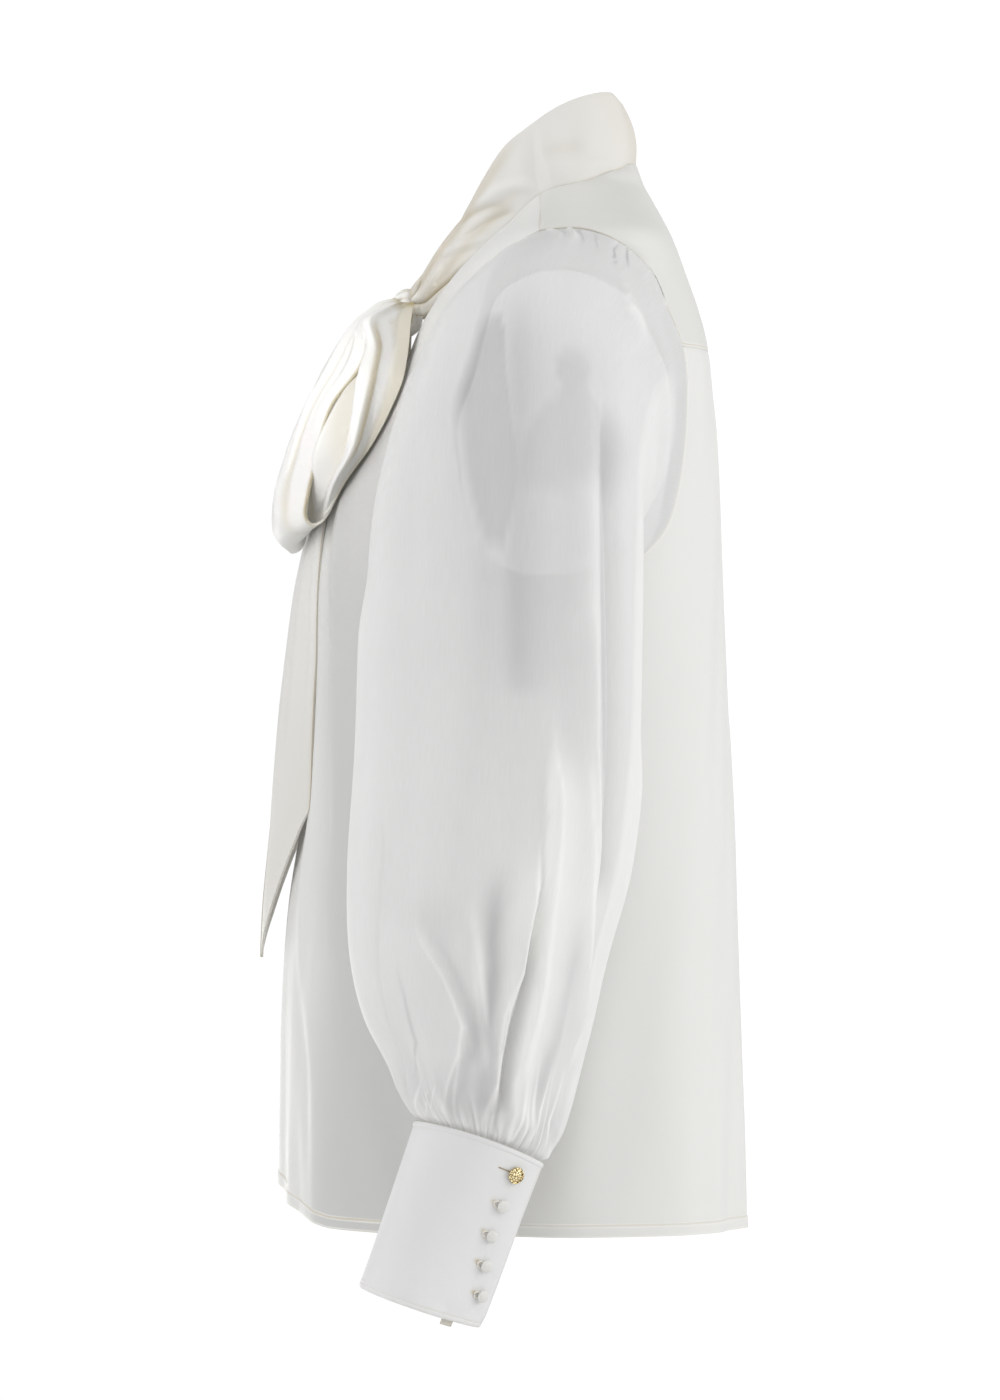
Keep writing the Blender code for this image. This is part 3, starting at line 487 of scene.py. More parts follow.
def organza(name, dark, light):
    """Sheer silk: crisp, plain-woven, partly open, denser and paler where it is folded steeply, with painted shade
    in its hollows and painted highlights on its ridges.
    """
    finish = Finish(name, Roughness=0.5, Sheen_Weight=0.3, Sheen_Roughness=0.3, Specular_IOR_Level=0.35)
    finish.let_through(0.18, GLOW)
    where = finish.place()
    laid_out, across, along = finish.weave()
    fold = finish.fold()
    cloud = finish.noise(where, 9.0, 3.0)
    slub = finish.floats(laid_out, 1400.0, 90.0, 2.0)
    threads = (across * 7000.0).sine() * (along * 7000.0).sine()
    finish.set(
        Base_Color=finish.tint(fold * 0.85 + cloud * 0.15 + slub * 0.1 - 0.05, dark, light),
        Roughness=slub * 0.14 + 0.42,
        Alpha=(slub - 0.5) * 0.04 + (cloud - 0.5) * 0.05 + threads * 0.02 + fold * 0.24 + 0.64,
        Normal=finish.bump(slub + threads * 0.3, 0.05, 0.0001, finish.bump(cloud, 0.15, 0.003)),
    )
    return finish


# Warm colours that positive fold tones lead to: painted shade in creases, along seams and edges.
WARM_CREASE_SHADE = (0.52, 0.45, 0.33)
SILK = satin("ivory_satin", (0.8, 0.796, 0.77), (0.868, 0.864, 0.842), 0.46, 0.24, 0.16, WARM_CREASE_SHADE)
# The yoke's satin is the body's ivory cloth painted darker and more olive: painted shade.
SHADED_YOKE_SILK = satin("yoke_satin_shaded", (0.796, 0.79, 0.752), (0.86, 0.856, 0.82), 0.46, 0.24, 0.16, WARM_CREASE_SHADE)
# The tie's satin is the body's ivory cloth painted lighter: painted light on the bow.
LIT_TIE_SILK = satin("tie_satin_lit", (0.94, 0.933, 0.912), (0.97, 0.966, 0.95), 0.42, 0.22, 0.22, (0.5, 0.42, 0.21))
BAND_SILK = satin("band_satin", (0.81, 0.802, 0.775), (0.868, 0.863, 0.84), 0.42, 0.22, 0.2, (0.47, 0.36, 0.17))
# The cuff's satin is the body's ivory cloth painted a little cooler: painted shade.
CUFF_SILK = satin("cuff_satin", (0.808, 0.809, 0.812), (0.872, 0.871, 0.866), 0.46, 0.55, 0.2, (0.5, 0.38, 0.2))
# The covered buttons' satin is the body's ivory cloth painted darker: painted shade.
SHADED_BUTTON_SILK = satin("button_satin_shaded", (0.76, 0.755, 0.74), (0.84, 0.835, 0.82), 0.38, 0.1)
TAB_TAPE = satin("tab_tape", (0.6, 0.57, 0.5), (0.68, 0.65, 0.58), 0.6, 0.1)
# The sheer's dark colour is painted shade for its hollows, its light one a painted highlight for ridges and dense
# folds.
SHEER = organza("sheer_silk", (0.515, 0.515, 0.538), (0.975, 0.977, 0.961))


def plain_finishes():
    """Thread, button metal, the dark painted shade inside the buttonhole, and floor."""
    thread = Finish("silk_thread", Roughness=0.55, Sheen_Weight=0.2)
    where = thread.place()
    thread.set(
        Base_Color=thread.tint(thread.noise(where, 900.0, 2.0), (0.66, 0.61, 0.53), (0.8, 0.77, 0.7)),
        Normal=thread.bump(thread.noise(where, 3200.0, 1.0), 0.3, 0.0001),
    )
    shade_cord = Finish("buttonhole_shade", Roughness=0.8)
    shade_cord.set(Base_Color=shade_cord.tint(shade_cord.noise(shade_cord.place(), 1500.0), (0.22, 0.17, 0.11), (0.42, 0.34, 0.25)))
    gold = Finish("polished_gold", Metallic=1.0)
    where = gold.place()
    cells = gold.node(
        "ShaderNodeTexVoronoi", "Distance", {"feature": "DISTANCE_TO_EDGE"}, {"Vector": where, "Scale": 640.0}
    )
    raised = gold.node(
        "ShaderNodeMapRange", "Result", {"interpolation_type": "SMOOTHSTEP"}, {"Value": cells, 1: 0.03, 2: 0.11}
    )
    gold.set(
        Base_Color=gold.tint(raised, (0.1, 0.06, 0.02), (0.93, 0.78, 0.46)),
        Roughness=gold.noise(where, 1200.0) * 0.12 + 0.16,
        Normal=gold.bump(raised, 0.8, 0.0005),
    )
    floor = Finish("pale_floor", Roughness=0.9)
    floor.set(Base_Color=floor.tint(floor.noise(floor.place(), 3.0), (0.9, 0.9, 0.895), (0.93, 0.93, 0.925)))
    return thread, shade_cord, gold, floor


THREAD, BUTTONHOLE_SHADE, GOLD, FLOOR = plain_finishes()


# ---------------------------------------------------------------- cloth

def in_scene(name, mesh, finish):
    made = bpy.data.objects.new(name, mesh)
    bpy.context.scene.collection.objects.link(made)
    mesh.materials.append(finish.material)
    mesh.shade_smooth()
    return made


def spread(grid, ring):
    """Each point's place across and along the cut cloth, from the mean lengths of its rows."""
    grid = closed(grid) if ring else grid
    wide, tall = length_of(np.diff(grid, axis=1)), length_of(np.diff(grid, axis=0))
    return reached(wide.mean(0)), reached(tall.mean(1))


def cloth(name, grid, finish, inside, wall=0.0, ring=False, folds=None):
    """A sheet through a grid of points, rows down its length, its wall grown away from the inside."""
    rows, columns = grid.shape[:2]
    spans = columns if ring else columns - 1
    low = np.arange(rows - 1)[:, None] * columns
    left = np.arange(spans)
    right = (left + 1) % columns
    corners = np.stack([low + left, low + right, low + columns + right, low + columns + left], -1)
    across, along = spread(grid, ring)
    u, v = np.broadcast_arrays(across, along[:, None])
    u, v = (np.stack([at[:-1, :-1], at[:-1, 1:], at[1:, 1:], at[1:, :-1]], -1) for at in (u, v))
    first = grid[:-1, :spans]
    over = np.cross(grid[1:, :spans] - first, grid[:-1, right] - first)
    if (over * (first - inside(first))).sum() > 0:
        corners, u, v = corners[..., ::-1], u[..., ::-1], v[..., ::-1]
    mesh = bpy.data.meshes.new(name)
    mesh.from_pydata(grid.reshape(-1, 3).tolist(), [], corners.reshape(-1, 4).tolist())
    mesh.uv_layers.new(name="weave").data.foreach_set("uv", np.stack([u, v], -1).ravel())
    # The fold tone carries painted shade, and on the sheer its density and painted highlights.
    if folds is not None:
        mesh.attributes.new("fold", "FLOAT", "POINT").data.foreach_set("value", folds.ravel())
    made = in_scene(name, mesh, finish)
    if wall:
        thick = made.modifiers.new("wall", "SOLIDIFY")
        thick.thickness, thick.offset = wall, 1.0
        alone(made)
        bpy.ops.object.modifier_apply(modifier=thick.name)
        bpy.ops.object.shade_smooth_by_angle(angle=math.radians(50.0))
    return made


def alone(piece):
    bpy.ops.object.select_all(action="DESELECT")
    piece.select_set(True)
    bpy.context.view_layer.objects.active = piece


def body_axis(points):
    """The line inside the body that its walls grow away from."""
    height = np.minimum(points[..., 2], -0.05)
    middle = form_at(np.minimum(points[..., 2], 0.0))[1]
    return np.stack([0 * height, middle, height], -1)


# ---------------------------------------------------------------- fronts, yoke and back

NECK_ROWS = len(NECKLINE) - 1 - NECK_POINT
CENTRE_ROWS = 13
FRONT_ROWS = NECK_ROWS + CENTRE_ROWS
FRONT_ARM_ROWS = NECK_ROWS + 2
BACK_ARM_ROWS = 8
BACK_ROWS = 17


def neck_chart(at):
    x, y, z = np.moveaxis(through(NECKLINE, at), -1, 0)
    return turn_of(x, y, z), z


def hem_band(above):
    """The turned hem: a thicker strip up to its stitches, drawn in along them."""
    turned = 0.0006 * (1 - ease(HEM_DEPTH - 0.0004, HEM_DEPTH + 0.0008, above))
    return turned - 0.00025 * bell(above, HEM_DEPTH, 0.0008)


# Long soft folds of a front: height and degrees where each starts and where it ends, half width in
# degrees, depth
FRONT_FOLDS = np.array((
    (-395, 30.5, -510, 42, 2.6, 2.2), (-200, 35, -500, 50.5, 3, -2.4), (-420, 36.5, -640, 47, 2.6, -1.6),
    (-230, 29, -420, 36, 3, 1.2), (-330, 60, -630, 66, 4.5, 1.8), (-480, 72, -640, 74, 4, -1.4),
)) / (MM, 1, MM, 1, 1, MM)
# Where the front's painted shade begins as it turns from the light: heights, and the degrees round at which it
# begins there
FRONT_SHADE = ((-0.62, -0.47, -0.4, -0.313, -0.2, -0.12), (36.0, 40.0, 35.0, 29.0, 27.0, 34.0))


def in_shade(lines, deep):
    """Fold tones of a panel, all painted shade: its lines stay dark, the cloth between them is painted darker where
    it turns from the light.
    """
    return lines + deep * (1.9 * ease(0.02, 0.12, lines) - 1)


def hem_tone(above):
    """The painted shade along the hem's stitches and its edge."""
    return 0.3 * bell(above, HEM_DEPTH, 0.0007) + 0.25 * (1 - ease(0.0002, 0.001, above))


def outer_edge(place, armhole, arm_rows, last, power=1.0):
    """Degrees and height at each row down a panel's armhole and side seam."""
    arm_turn, arm_z = chart_row(armhole, np.minimum(place / arm_rows, 1))
    down = (np.clip(place - arm_rows, 0, None) / (last - arm_rows)) ** power
    side_z = UNDERARM + down * (hem_height(SIDE_SEAM) - UNDERARM)
    return np.where(place <= arm_rows, arm_turn, SIDE_SEAM), np.where(place <= arm_rows, arm_z, side_z)


def front_chart():
    """A front's rows, columns, degrees round and heights."""
    hem = FRONT_ROWS - 0.3
    r = marks((-0.45, 0.3, 12), (0.4, NECK_ROWS, 40), (NECK_ROWS, hem, 90), (hem, FRONT_ROWS, 19))
    u = marks((0, 0.985, 96), (1.0, 1.03, 5))
    place = np.maximum(r, 0.0)
    neck_turn, neck_z = neck_chart(NECK_POINT + np.minimum(place, NECK_ROWS))
    down = (np.clip(place - NECK_ROWS, 0, None) / CENTRE_ROWS) ** 1.35
    lap_z = NECKLINE[-1][2] + down * (HEM_FRONT - NECKLINE[-1][2])
    inner_z = np.where(place <= NECK_ROWS, neck_z, lap_z)
    inner_turn = np.where(place <= NECK_ROWS, neck_turn, turn_of(-LAP, chest(LAP, lap_z), lap_z))
    outer_turn, outer_z = outer_edge(place, FRONT_ARMHOLE, FRONT_ARM_ROWS, FRONT_ROWS, 1.15)

    inner_turn, inner_z, outer_turn, outer_z, r2 = (
        a[:, None] for a in (inner_turn, inner_z, outer_turn, outer_z, r)
    )
    within = np.minimum(u, 1.0)[None, :]
    turn = inner_turn + (outer_turn - inner_turn) * within
    z = inner_z + (outer_z - inner_z) * ease(0, 1, within)
    seam_turn, seam_z = chart_row(YOKE_FRONT, np.clip(u, 0, 1))
    zero = np.argmin(np.abs(r))
    top_turn, top_z = turn[zero], z[zero]
    fade = np.clip(1 - np.maximum(r2, 0), 0, 1)
    turn, z = turn + (seam_turn - top_turn) * fade, z + (seam_z - top_z) * fade
    one = np.argmin(np.abs(r - 1.0))
    past = np.minimum(r2, 0.0)
    turn, z = turn + past * (turn[one] - turn[zero]), z + past * (z[one] - z[zero])
    past_side = np.clip(u - 1.0, 0, None)[None, :] * ease(FRONT_ARM_ROWS, FRONT_ARM_ROWS + 0.6, r2)
    turn = turn + past_side * 90.0

    foot = on_form(turn[-1], z[-1])
    rise = HEM_RISE * np.maximum(0, 1 - length_of(foot - foot[0]) / HEM_RISE_WIDTH) ** 1.1
    return r2, u[None, :], turn, z + rise * np.clip(r2 - (FRONT_ROWS - 1), 0, 1)


def front_grid(side):
    """One front: rows from the yoke seam to the hem, columns from the lap to the side seam.

    Beside its points it gives how far each is above the hem, and its fold tone: painted shade along the hem and the
    lap's edge, and where the front turns from the light.
    """
    r, u, turn, z = front_chart()
    above = z - z[-1]
    out = draped(turn, z) + hem_band(above)
    out -= SEAM_DIP * (1 - ease(-0.1, 0.18, r))
    out -= SEAM_DIP * ease(0.985, 1.006, u) * ease(FRONT_ARM_ROWS, FRONT_ARM_ROWS + 0.6, r)
    seed = 11 if side > 0 else 12
    clear = ease(22.0, 52.0, turn)
    out += 0.0011 * clear * ease(-0.2, -0.62, z) * ripple(seed, turn / 5.5, z, 6, 9.0)
    out += 0.0006 * clear * ease(-0.04, -0.1, z) * ripple(seed + 2, turn / 3.0 + z * 40, z, 5, 22.0)
    if side < 0:
        out = out + LAP_LIFT * (1 - ease(*LAP_FADE, on_form(turn, z)[..., 0]))
    flat = on_form(turn, z)
    lap_edge = length_of(flat - flat[:, :1])
    out -= 0.0004 * (1 - ease(0, 0.0025, lap_edge))
    for start, foot, end, head, wide, deep in FRONT_FOLDS:
        share = np.clip((z - start) / (end - start), -0.3, 1.3)
        fade = ease(-0.2, 0.15, share) * ease(1.2, 0.85, share)
        out += deep * fade * bell(turn, foot + (head - foot) * share, wide)
    # Painted shade: darker along the hem and the lap's edge, where the front turns from the light, and lower down.
    shade = hem_tone(above) + 0.25 * (1 - ease(0.0006, 0.0016, lap_edge))
    begin = np.interp(z, *FRONT_SHADE)
    deep = 0.36 * ease(0, 1, (turn - begin) / 19.0) * ease(-0.1, -0.2, z) * (1 - 0.75 * ease(62.0, 90.0, turn))
    deep = deep + 0.11 * ease(-0.06, -0.16, z) + 0.06 * ease(-0.3, -0.45, z)
    return mirrored(on_form(turn, z, out), side), above, in_shade(shade, deep)


def yoke_grid():
    """The yoke: rows from the neck to its outer edge, columns from front seam to front seam."""
    u = np.linspace(0, 1, 101)
    v = marks((0, 0.94, 46), (0.95, 1.0, 8))
    neck_turn, neck_z = neck_chart(NECK_POINT * (1 - u))
    arm_turn, arm_z = chart_row(YOKE_EDGE, np.minimum(u / ARM_SHARE, 1))
    part = np.clip((u - ARM_SHARE) / (1 - ARM_SHARE), 0, 1)
    low, high = YOKE_BACK_SEAM
    outer_turn = np.where(u <= ARM_SHARE, arm_turn, YOKE_CORNER + (180.0 - YOKE_CORNER) * part)
    outer_z = np.where(u <= ARM_SHARE, arm_z, low + (high - low) * part)
    turn = neck_turn + (outer_turn - neck_turn) * v[:, None]
    z = neck_z + (outer_z - neck_z) * v[:, None]
    seam_turn, seam_z = chart_row(YOKE_FRONT, v)
    near = np.clip(1 - u * 16, 0, 1)[None, :]
    turn = turn + (seam_turn[:, None] - turn[:, :1]) * near
    z = z + (seam_z[:, None] - z[:, :1]) * near
    flat = on_form(turn, z)
    to_outer = length_of(flat - flat[-1:])
    to_front = length_of(flat - flat[:, :1])
    out = -0.0004 * (1 - ease(0, 0.0022, np.minimum(to_outer, to_front)))
    out += 0.0008 * ripple(21, turn / 6.0, z, 5, 40.0) * ease(0.0, 0.02, to_outer) * ease(0, 0.012, to_front)
    half = on_form(turn, z, out)
    edge = np.minimum(to_outer, to_front)
    # Painted shade: darker lines along the seams and edges, and the whole yoke darker, more towards the back, in
    # uneven patches.
    shade = 0.45 * bell(edge, 0.0016, 0.0005) + 0.3 * (1 - ease(0.0002, 0.0009, edge))
    shade = in_shade(shade, 0.11 + 0.11 * ease(88.0, 112.0, turn) + 0.035 * ripple(23, turn / 5.0, z, 5, 60.0))
    return both_halves(half, mirrored(half, -1)), both_halves(shade, shade)


def back_grid():
    """The back: rows from the yoke seam to the hem, columns from side to side."""
    hem = BACK_ROWS - 0.4
    r = marks((-0.35, 0.25, 12), (0.35, BACK_ARM_ROWS, 54), (BACK_ARM_ROWS, hem, 84), (hem, BACK_ROWS, 19))
    u = np.linspace(0, 1, 68)
    place = np.maximum(r, 0.0)
    outer_turn, outer_z = outer_edge(place, BACK_ARMHOLE, BACK_ARM_ROWS, BACK_ROWS)
    centre_z = YOKE_BACK_SEAM[1] + place / BACK_ROWS * (HEM_BACK - YOKE_BACK_SEAM[1])
    turn = outer_turn[:, None] + (180.0 - outer_turn[:, None]) * u
    z = outer_z[:, None] + (centre_z - outer_z)[:, None] * u
    z = z - np.minimum(r, 0.0)[:, None] * 0.012
    above = z - z[-1]
    middle, wide, deep, long, full = PLEAT
    below = YOKE_BACK_SEAM[0] - z
    pleat = np.maximum(0, 1 - np.abs(turn - middle) / wide)
    out = deep * pleat * ease(0, full, below) * (1 - ease(0, long, below)) + draped(turn, z) + hem_band(above)
    out -= SEAM_DIP * (1 - ease(-0.1, 0.16, r))[:, None]
    out += 0.0011 * ease(-0.14, -0.6, z) * ripple(31, turn / 6.0, z, 6, 8.0)
    out += 0.0006 * ease(0.0, 0.05, below) * ripple(32, turn / 3.2 - z * 30, z, 5, 18.0)
    flat = on_form(turn, z)
    to_side = length_of(flat - flat[:, :1])
    out -= 0.0003 * (1 - ease(0, 0.0022, to_side))
    half = on_form(turn, z, out)
    uneven = 0.0006 * ripple(33, turn / 5.0, z, 5, 9.0) * ease(-0.16, -0.3, z) * ease(180, 165, turn)
    other = mirrored(on_form(turn, z, out + uneven), -1)
    # Painted shade: darker along the hem and the side seams, and all over, more towards the sides lower down.
    shade = hem_tone(above) + 0.25 * (1 - ease(0.0004, 0.0014, to_side))
    shade = in_shade(shade, 0.11 + 0.12 * ease(132.0, 100.0, turn) * ease(-0.2, -0.32, z))
    return both_halves(half, other), both_halves(above, above), both_halves(shade, shade)


# ---------------------------------------------------------------- collar and bow

# Soft folds of the band: metres from the centre back and share of the band's height where each starts
# and where it ends, half width, depth, and how much painted shade it adds
COLLAR_FOLDS = (
    (0.097, 0.18, 0.142, 0.8, 0.09, 0.0015, -0.05),
    (0.124, 0.36, 0.15, 0.92, 0.075, -0.0016, 0.14),
    (0.119, 0.12, 0.146, 0.5, 0.07, -0.0012, 0.1),
    (0.138, 0.14, 0.161, 0.64, 0.075, 0.0016, -0.05),
    (0.151, 0.04, 0.205, 0.4, 0.05, -0.0026, 0.5),
    (0.188, 0.86, 0.206, 0.52, 0.055, -0.0026, 0.55),
    (0.17, 0.5, 0.203, 0.46, 0.09, 0.0014, 0.0),
    (0.055, 0.44, 0.076, 0.5, 0.11, -0.001, 0.06),
    (0.036, 0.16, 0.074, 0.24, 0.12, 0.0009, 0.0),
    (0.16, 0.8, 0.196, 0.9, 0.08, 0.001, 0.0),
    (0.118, 0.28, 0.2, 0.3, 0.11, 0.0, 0.15),
    (0.112, 0.86, 0.192, 0.74, 0.11, 0.0, 0.17),
)


def collar_grid():
    """The tie-neck band from knot to knot, with soft folds that run down into the knot, and painted shade in them
    and along its edges.
    """
    ends = len(COLLAR_TOP) - len(COLLAR_END)
    base = np.concatenate([on_form(*neck_chart(np.arange(ends, dtype=float))), COLLAR_END])
    last = len(COLLAR_TOP) - 1
    place = np.linspace(0, last, 130)
    v = np.linspace(0, 1, 40)
    low, high = through(base, place), through(COLLAR_TOP, place)
    up = unit(high - low)
    low = low + up * (COLLAR_LIFT - 0.0022)
    along = through(base, np.minimum(place + 0.1, last)) - through(base, np.maximum(place - 0.1, 0))
    out = unit(np.cross(up, along))
    out *= np.where(np.sum(out[:, :2] * low[:, :2], -1) < 0, -1.0, 1.0)[:, None]
    share = (place / last)[:, None]
    rounded = COLLAR_BOW * np.sin(math.pi * v) * (1 - 0.6 * share) - TIE_WALL / 2
    metres = share * 0.205
    across = v[None, :]
    # Painted shade: a little all over, more at the back and towards the knot, along the upper edge in front, along
    # the neck seam and where it goes into the knot.
    shade = 0.2 * ease(0.8, 1.0, across) * ease(0.09, 0.14, metres) + 0.16 * ease(0.04, 0.0, metres)
    shade = shade + 0.05 + 0.13 * ease(0.125, 0.165, metres) + 0.07 * ease(0.07, 0.03, metres)
    shade = shade + 0.55 * ease(0.045, 0.015, across) + 0.35 * ease(0.199, 0.205, metres)
    for start, foot, end, head, wide, deep, dark in COLLAR_FOLDS:
        down = (metres - start) / (end - start)
        line = bell(across, foot + (head - foot) * down, wide) * ease(-0.25, 0.2, down) * ease(1.25, 0.85, down)
        rounded = rounded + 1.3 * deep * line
        shade = shade + 1.6 * dark * line
    rounded = rounded + 0.0005 * ripple(41, metres * 160, across * 3, 6, 1.0) * np.sin(math.pi * across)
    rounded = rounded - 0.0007 * (ease(0.05, 0.0, across) + ease(0.95, 1.0, across))
    half = low[:, None] + (high - low)[:, None] * v[None, :, None] + out[:, None] * rounded[..., None]
    grid = np.concatenate([mirrored(half, -1)[:0:-1], half])
    return grid, np.clip(np.concatenate([shade[:0:-1], shade]), 0, 1)


# Folds of the knot's wrap: which way it bows, its tilt and height, half width, depth
KNOT_FOLDS = (
    (1.0, 0.3, 0.62, 0.07, -0.0032), (1.0, 0.26, 0.42, 0.11, 0.002), (1.0, 0.2, 0.2, 0.06, -0.003),
    (-1.0, 0.12, -0.02, 0.13, 0.002), (-1.0, 0.02, -0.26, 0.06, -0.0034), (-1.0, -0.06, -0.46, 0.11, 0.0019),
    (-1.0, -0.16, -0.68, 0.06, -0.0028),
)


def knot_piece():
    """The knot: the tie wrapped round once, with the wrap's folds raised between creases that are painted dark, and
    painted shade at its top and bottom.
    """
    turn = full_turn(96)
    lift = np.linspace(-1, 1, 62)
    turn, lift = np.meshgrid(turn, lift)
    reach = np.maximum(1 - np.abs(lift) ** 2.6, 0.0) ** 0.5
    x, y, z = np.cos(turn) * reach, np.sin(turn) * reach, lift
    wave = np.zeros(x.shape)
    for side, tilt, start, wide, deep in KNOT_FOLDS:
        wave += deep * bell(z - start - tilt * x - 0.25 * side * x * x, 0, wide) * ease(0.5, -0.2, y)
    pinch = 1 - 0.12 * bell(np.abs(z), 0.95, 0.12)
    wide, deep, tall = KNOT_HALF
    grid = np.stack([x * wide * pinch * 0.98, y * (deep + wave) * pinch, z * tall * 0.985], -1)
    return grid + KNOT, np.clip(-wave / 0.006 + 0.5 * ease(0.85, 1.0, np.abs(lift)), 0, 1)


def creased(share, down, folds):
    """Folds along a strip of the bow: each a ridge or crease that runs from the knot and fades."""
    out = level_zero(share, down)
    for first, last, start, end, wide, deep in folds:
        middle = start + (end - start) * np.clip((down - first) / (last - first), 0, 1)
        fade = ease(first - 0.02, first + 0.12, down) * ease(last + 0.12, last - 0.12, down)
        out += deep * fade * bell(share, middle, wide)
    return out


# Creases of a loop: where along it they start and end, where across it, half width, depth
LOOP_FOLDS = (
    (0.0, 0.22, 0.22, 0.4, 0.06, -0.0034), (0.0, 0.3, 0.5, 0.58, 0.085, 0.0026),
    (0.0, 0.2, 0.72, 0.8, 0.06, -0.003), (0.02, 0.34, 0.8, 0.88, 0.09, 0.002),
    (0.1, 0.42, 0.3, 0.52, 0.1, 0.0016), (0.16, 0.5, 0.62, 0.7, 0.07, -0.0014),
    (0.62, 1.0, 0.45, 0.52, 0.06, -0.0022), (0.66, 1.0, 0.72, 0.62, 0.05, -0.002),
    (0.7, 1.0, 0.84, 0.76, 0.07, 0.0018), (0.72, 1.0, 0.26, 0.34, 0.09, 0.0018),
    (0.8, 1.0, 0.34, 0.36, 0.04, -0.0018), (0.11, 0.27, 0.64, 0.64, 0.03, -0.0024),
    (0.12, 0.34, 0.72, 0.76, 0.05, 0.0012), (0.92, 1.0, 0.88, 0.84, 0.022, -0.0016),
)


def loop_grid(side):
    """One drooping loop and its creases: its front strip bows out, its back strip puffs up beside it."""
    length, width = (1.0, 1.0) if side > 0 else RIGHT_LOOP
    place = np.linspace(0, len(LOOP) - 1, 160)
    w = marks((0, 0.5, 26), (0.5, 1, 62))
    in_x, in_z, in_off, out_x, out_z, out_off = np.moveaxis(through(LOOP, place), -1, 0)[:, :, None]
    row = place[:, None]
    lie = through(LOOP_LIE[:, 1:], place, LOOP_LIE[:, 0])
    inner, outer, aside, rise, forward, outward_by = np.moveaxis(lie, -1, 0)[:, :, None]
    puff = LOOP_PUFF * ease(0.0, 3.0, row) * (1 - 1.25 * ease(LOOP_TURN - 1, LOOP_TURN + 2, row))
    down = row / (len(LOOP) - 1)
    at_edge = np.where(row < LOOP_TURN, w ** 3, ease(0.78, 1.0, w))
    x = in_x + (out_x - in_x) * w + np.minimum(outward_by, 0) * at_edge
    z = in_z + (out_z - in_z) * w
    front = ease(LOOP_TURN + 0.6, LOOP_TURN - 0.8, row) - ease(LOOP_TURN - 0.6, LOOP_TURN + 0.8, row)
    relief = creased(w[None, :], down, LOOP_FOLDS)
    fold_line = bell(w, 0.93, 0.014) * ease(11.3, 12.4, row) * ease(16.2, 15.0, row)
    relief = relief - 0.0022 * fold_line
    # Painted shade in the back strip's fold line and in the sunken creases.
    shade = 0.42 * fold_line + np.clip(-relief / 0.004, 0, 0.3)
    relief = relief + 0.0007 * ripple(51 if side > 0 else 52, w[None, :] * 9, down, 6, 14.0)
    relief = relief - 0.0006 * (ease(0.05, 0.0, w) + ease(0.95, 1.0, w))[None, :]
    off = in_off + (out_off - in_off) * w + puff * np.sin(math.pi * w)
    off = off + relief * np.where(front > 0, 1.0, 0.8) * np.abs(front)
    first, second = SWELL_MIDDLES
    off = off + inner * ease(0.0, first, w) * ease(0.73, first + 0.08, w) + forward * at_edge
    off = off - EDGE_DROP * ease(0.86, 1.0, w) * ease(LOOP_TURN + 0.8, LOOP_TURN + 2.0, row)
    rounded = np.sqrt(np.clip(1 - (np.maximum(w - second, 0) / (1 - second)) ** 2, 0, 1))
    off = off + outer * ease(0.58, second, w) * rounded
    y = chest(x, z) - off
    x = x + aside * ease(0.2, 0.6, w) * (1 - 0.8 * ease(0.9, 1.0, w)) + np.maximum(outward_by, 0) * at_edge
    z = z + rise * ease(0.4, 0.85, w)
    # Painted shade along the front strip's edge, at the turn, in the hollow inside the loop, along the back strip's
    # creased line and outer edge, and at both ends by the knot.
    shade = shade + 0.75 * ease(0.965, 0.988, w) * ease(1.6, 2.6, row) * ease(9.6, 8.0, row)
    shade = shade + 0.3 * ease(0.75, 1.0, w) * bell(row, 9.7, 0.8)
    shade = shade + 0.6 * ease(0.6, 0.4, w) * ease(10.0, 10.8, row) * ease(13.5, 12.5, row)
    shade = shade + 0.5 * bell(w, 0.738, 0.02) * ease(10.6, 11.4, row) * ease(15.0, 14.0, row)
    shade = shade + 0.45 * ease(0.975, 0.995, w) * ease(10.2, 11.0, row)
    shade = shade + 0.7 * (ease(0.5, 0.0, row) + ease(16.55, 17.0, row))
    grid = np.stack([side * x * width, y, KNOT[2] + (z - KNOT[2]) * length], -1)
    return grid, np.clip(shade, 0, 1)


def within_loop(side):
    def inside(points):
        z = points[..., 2]
        return np.stack([0 * z + side * 0.05, -0.115 + 0.125 * np.maximum(z, -0.2), z], -1)
    return inside


# Folds of a tail: where along it they start and end, where across it, half width, depth
TAIL_FOLDS = (
    (0.0, 0.45, 0.35, 0.42, 0.1, -0.001), (0.0, 0.4, 0.68, 0.62, 0.1, 0.0012),
    (0.25, 0.8, 0.55, 0.48, 0.12, 0.001), (0.4, 1.0, 0.8, 0.84, 0.09, -0.0008),
    (0.55, 1.0, 0.2, 0.16, 0.1, 0.001),
)


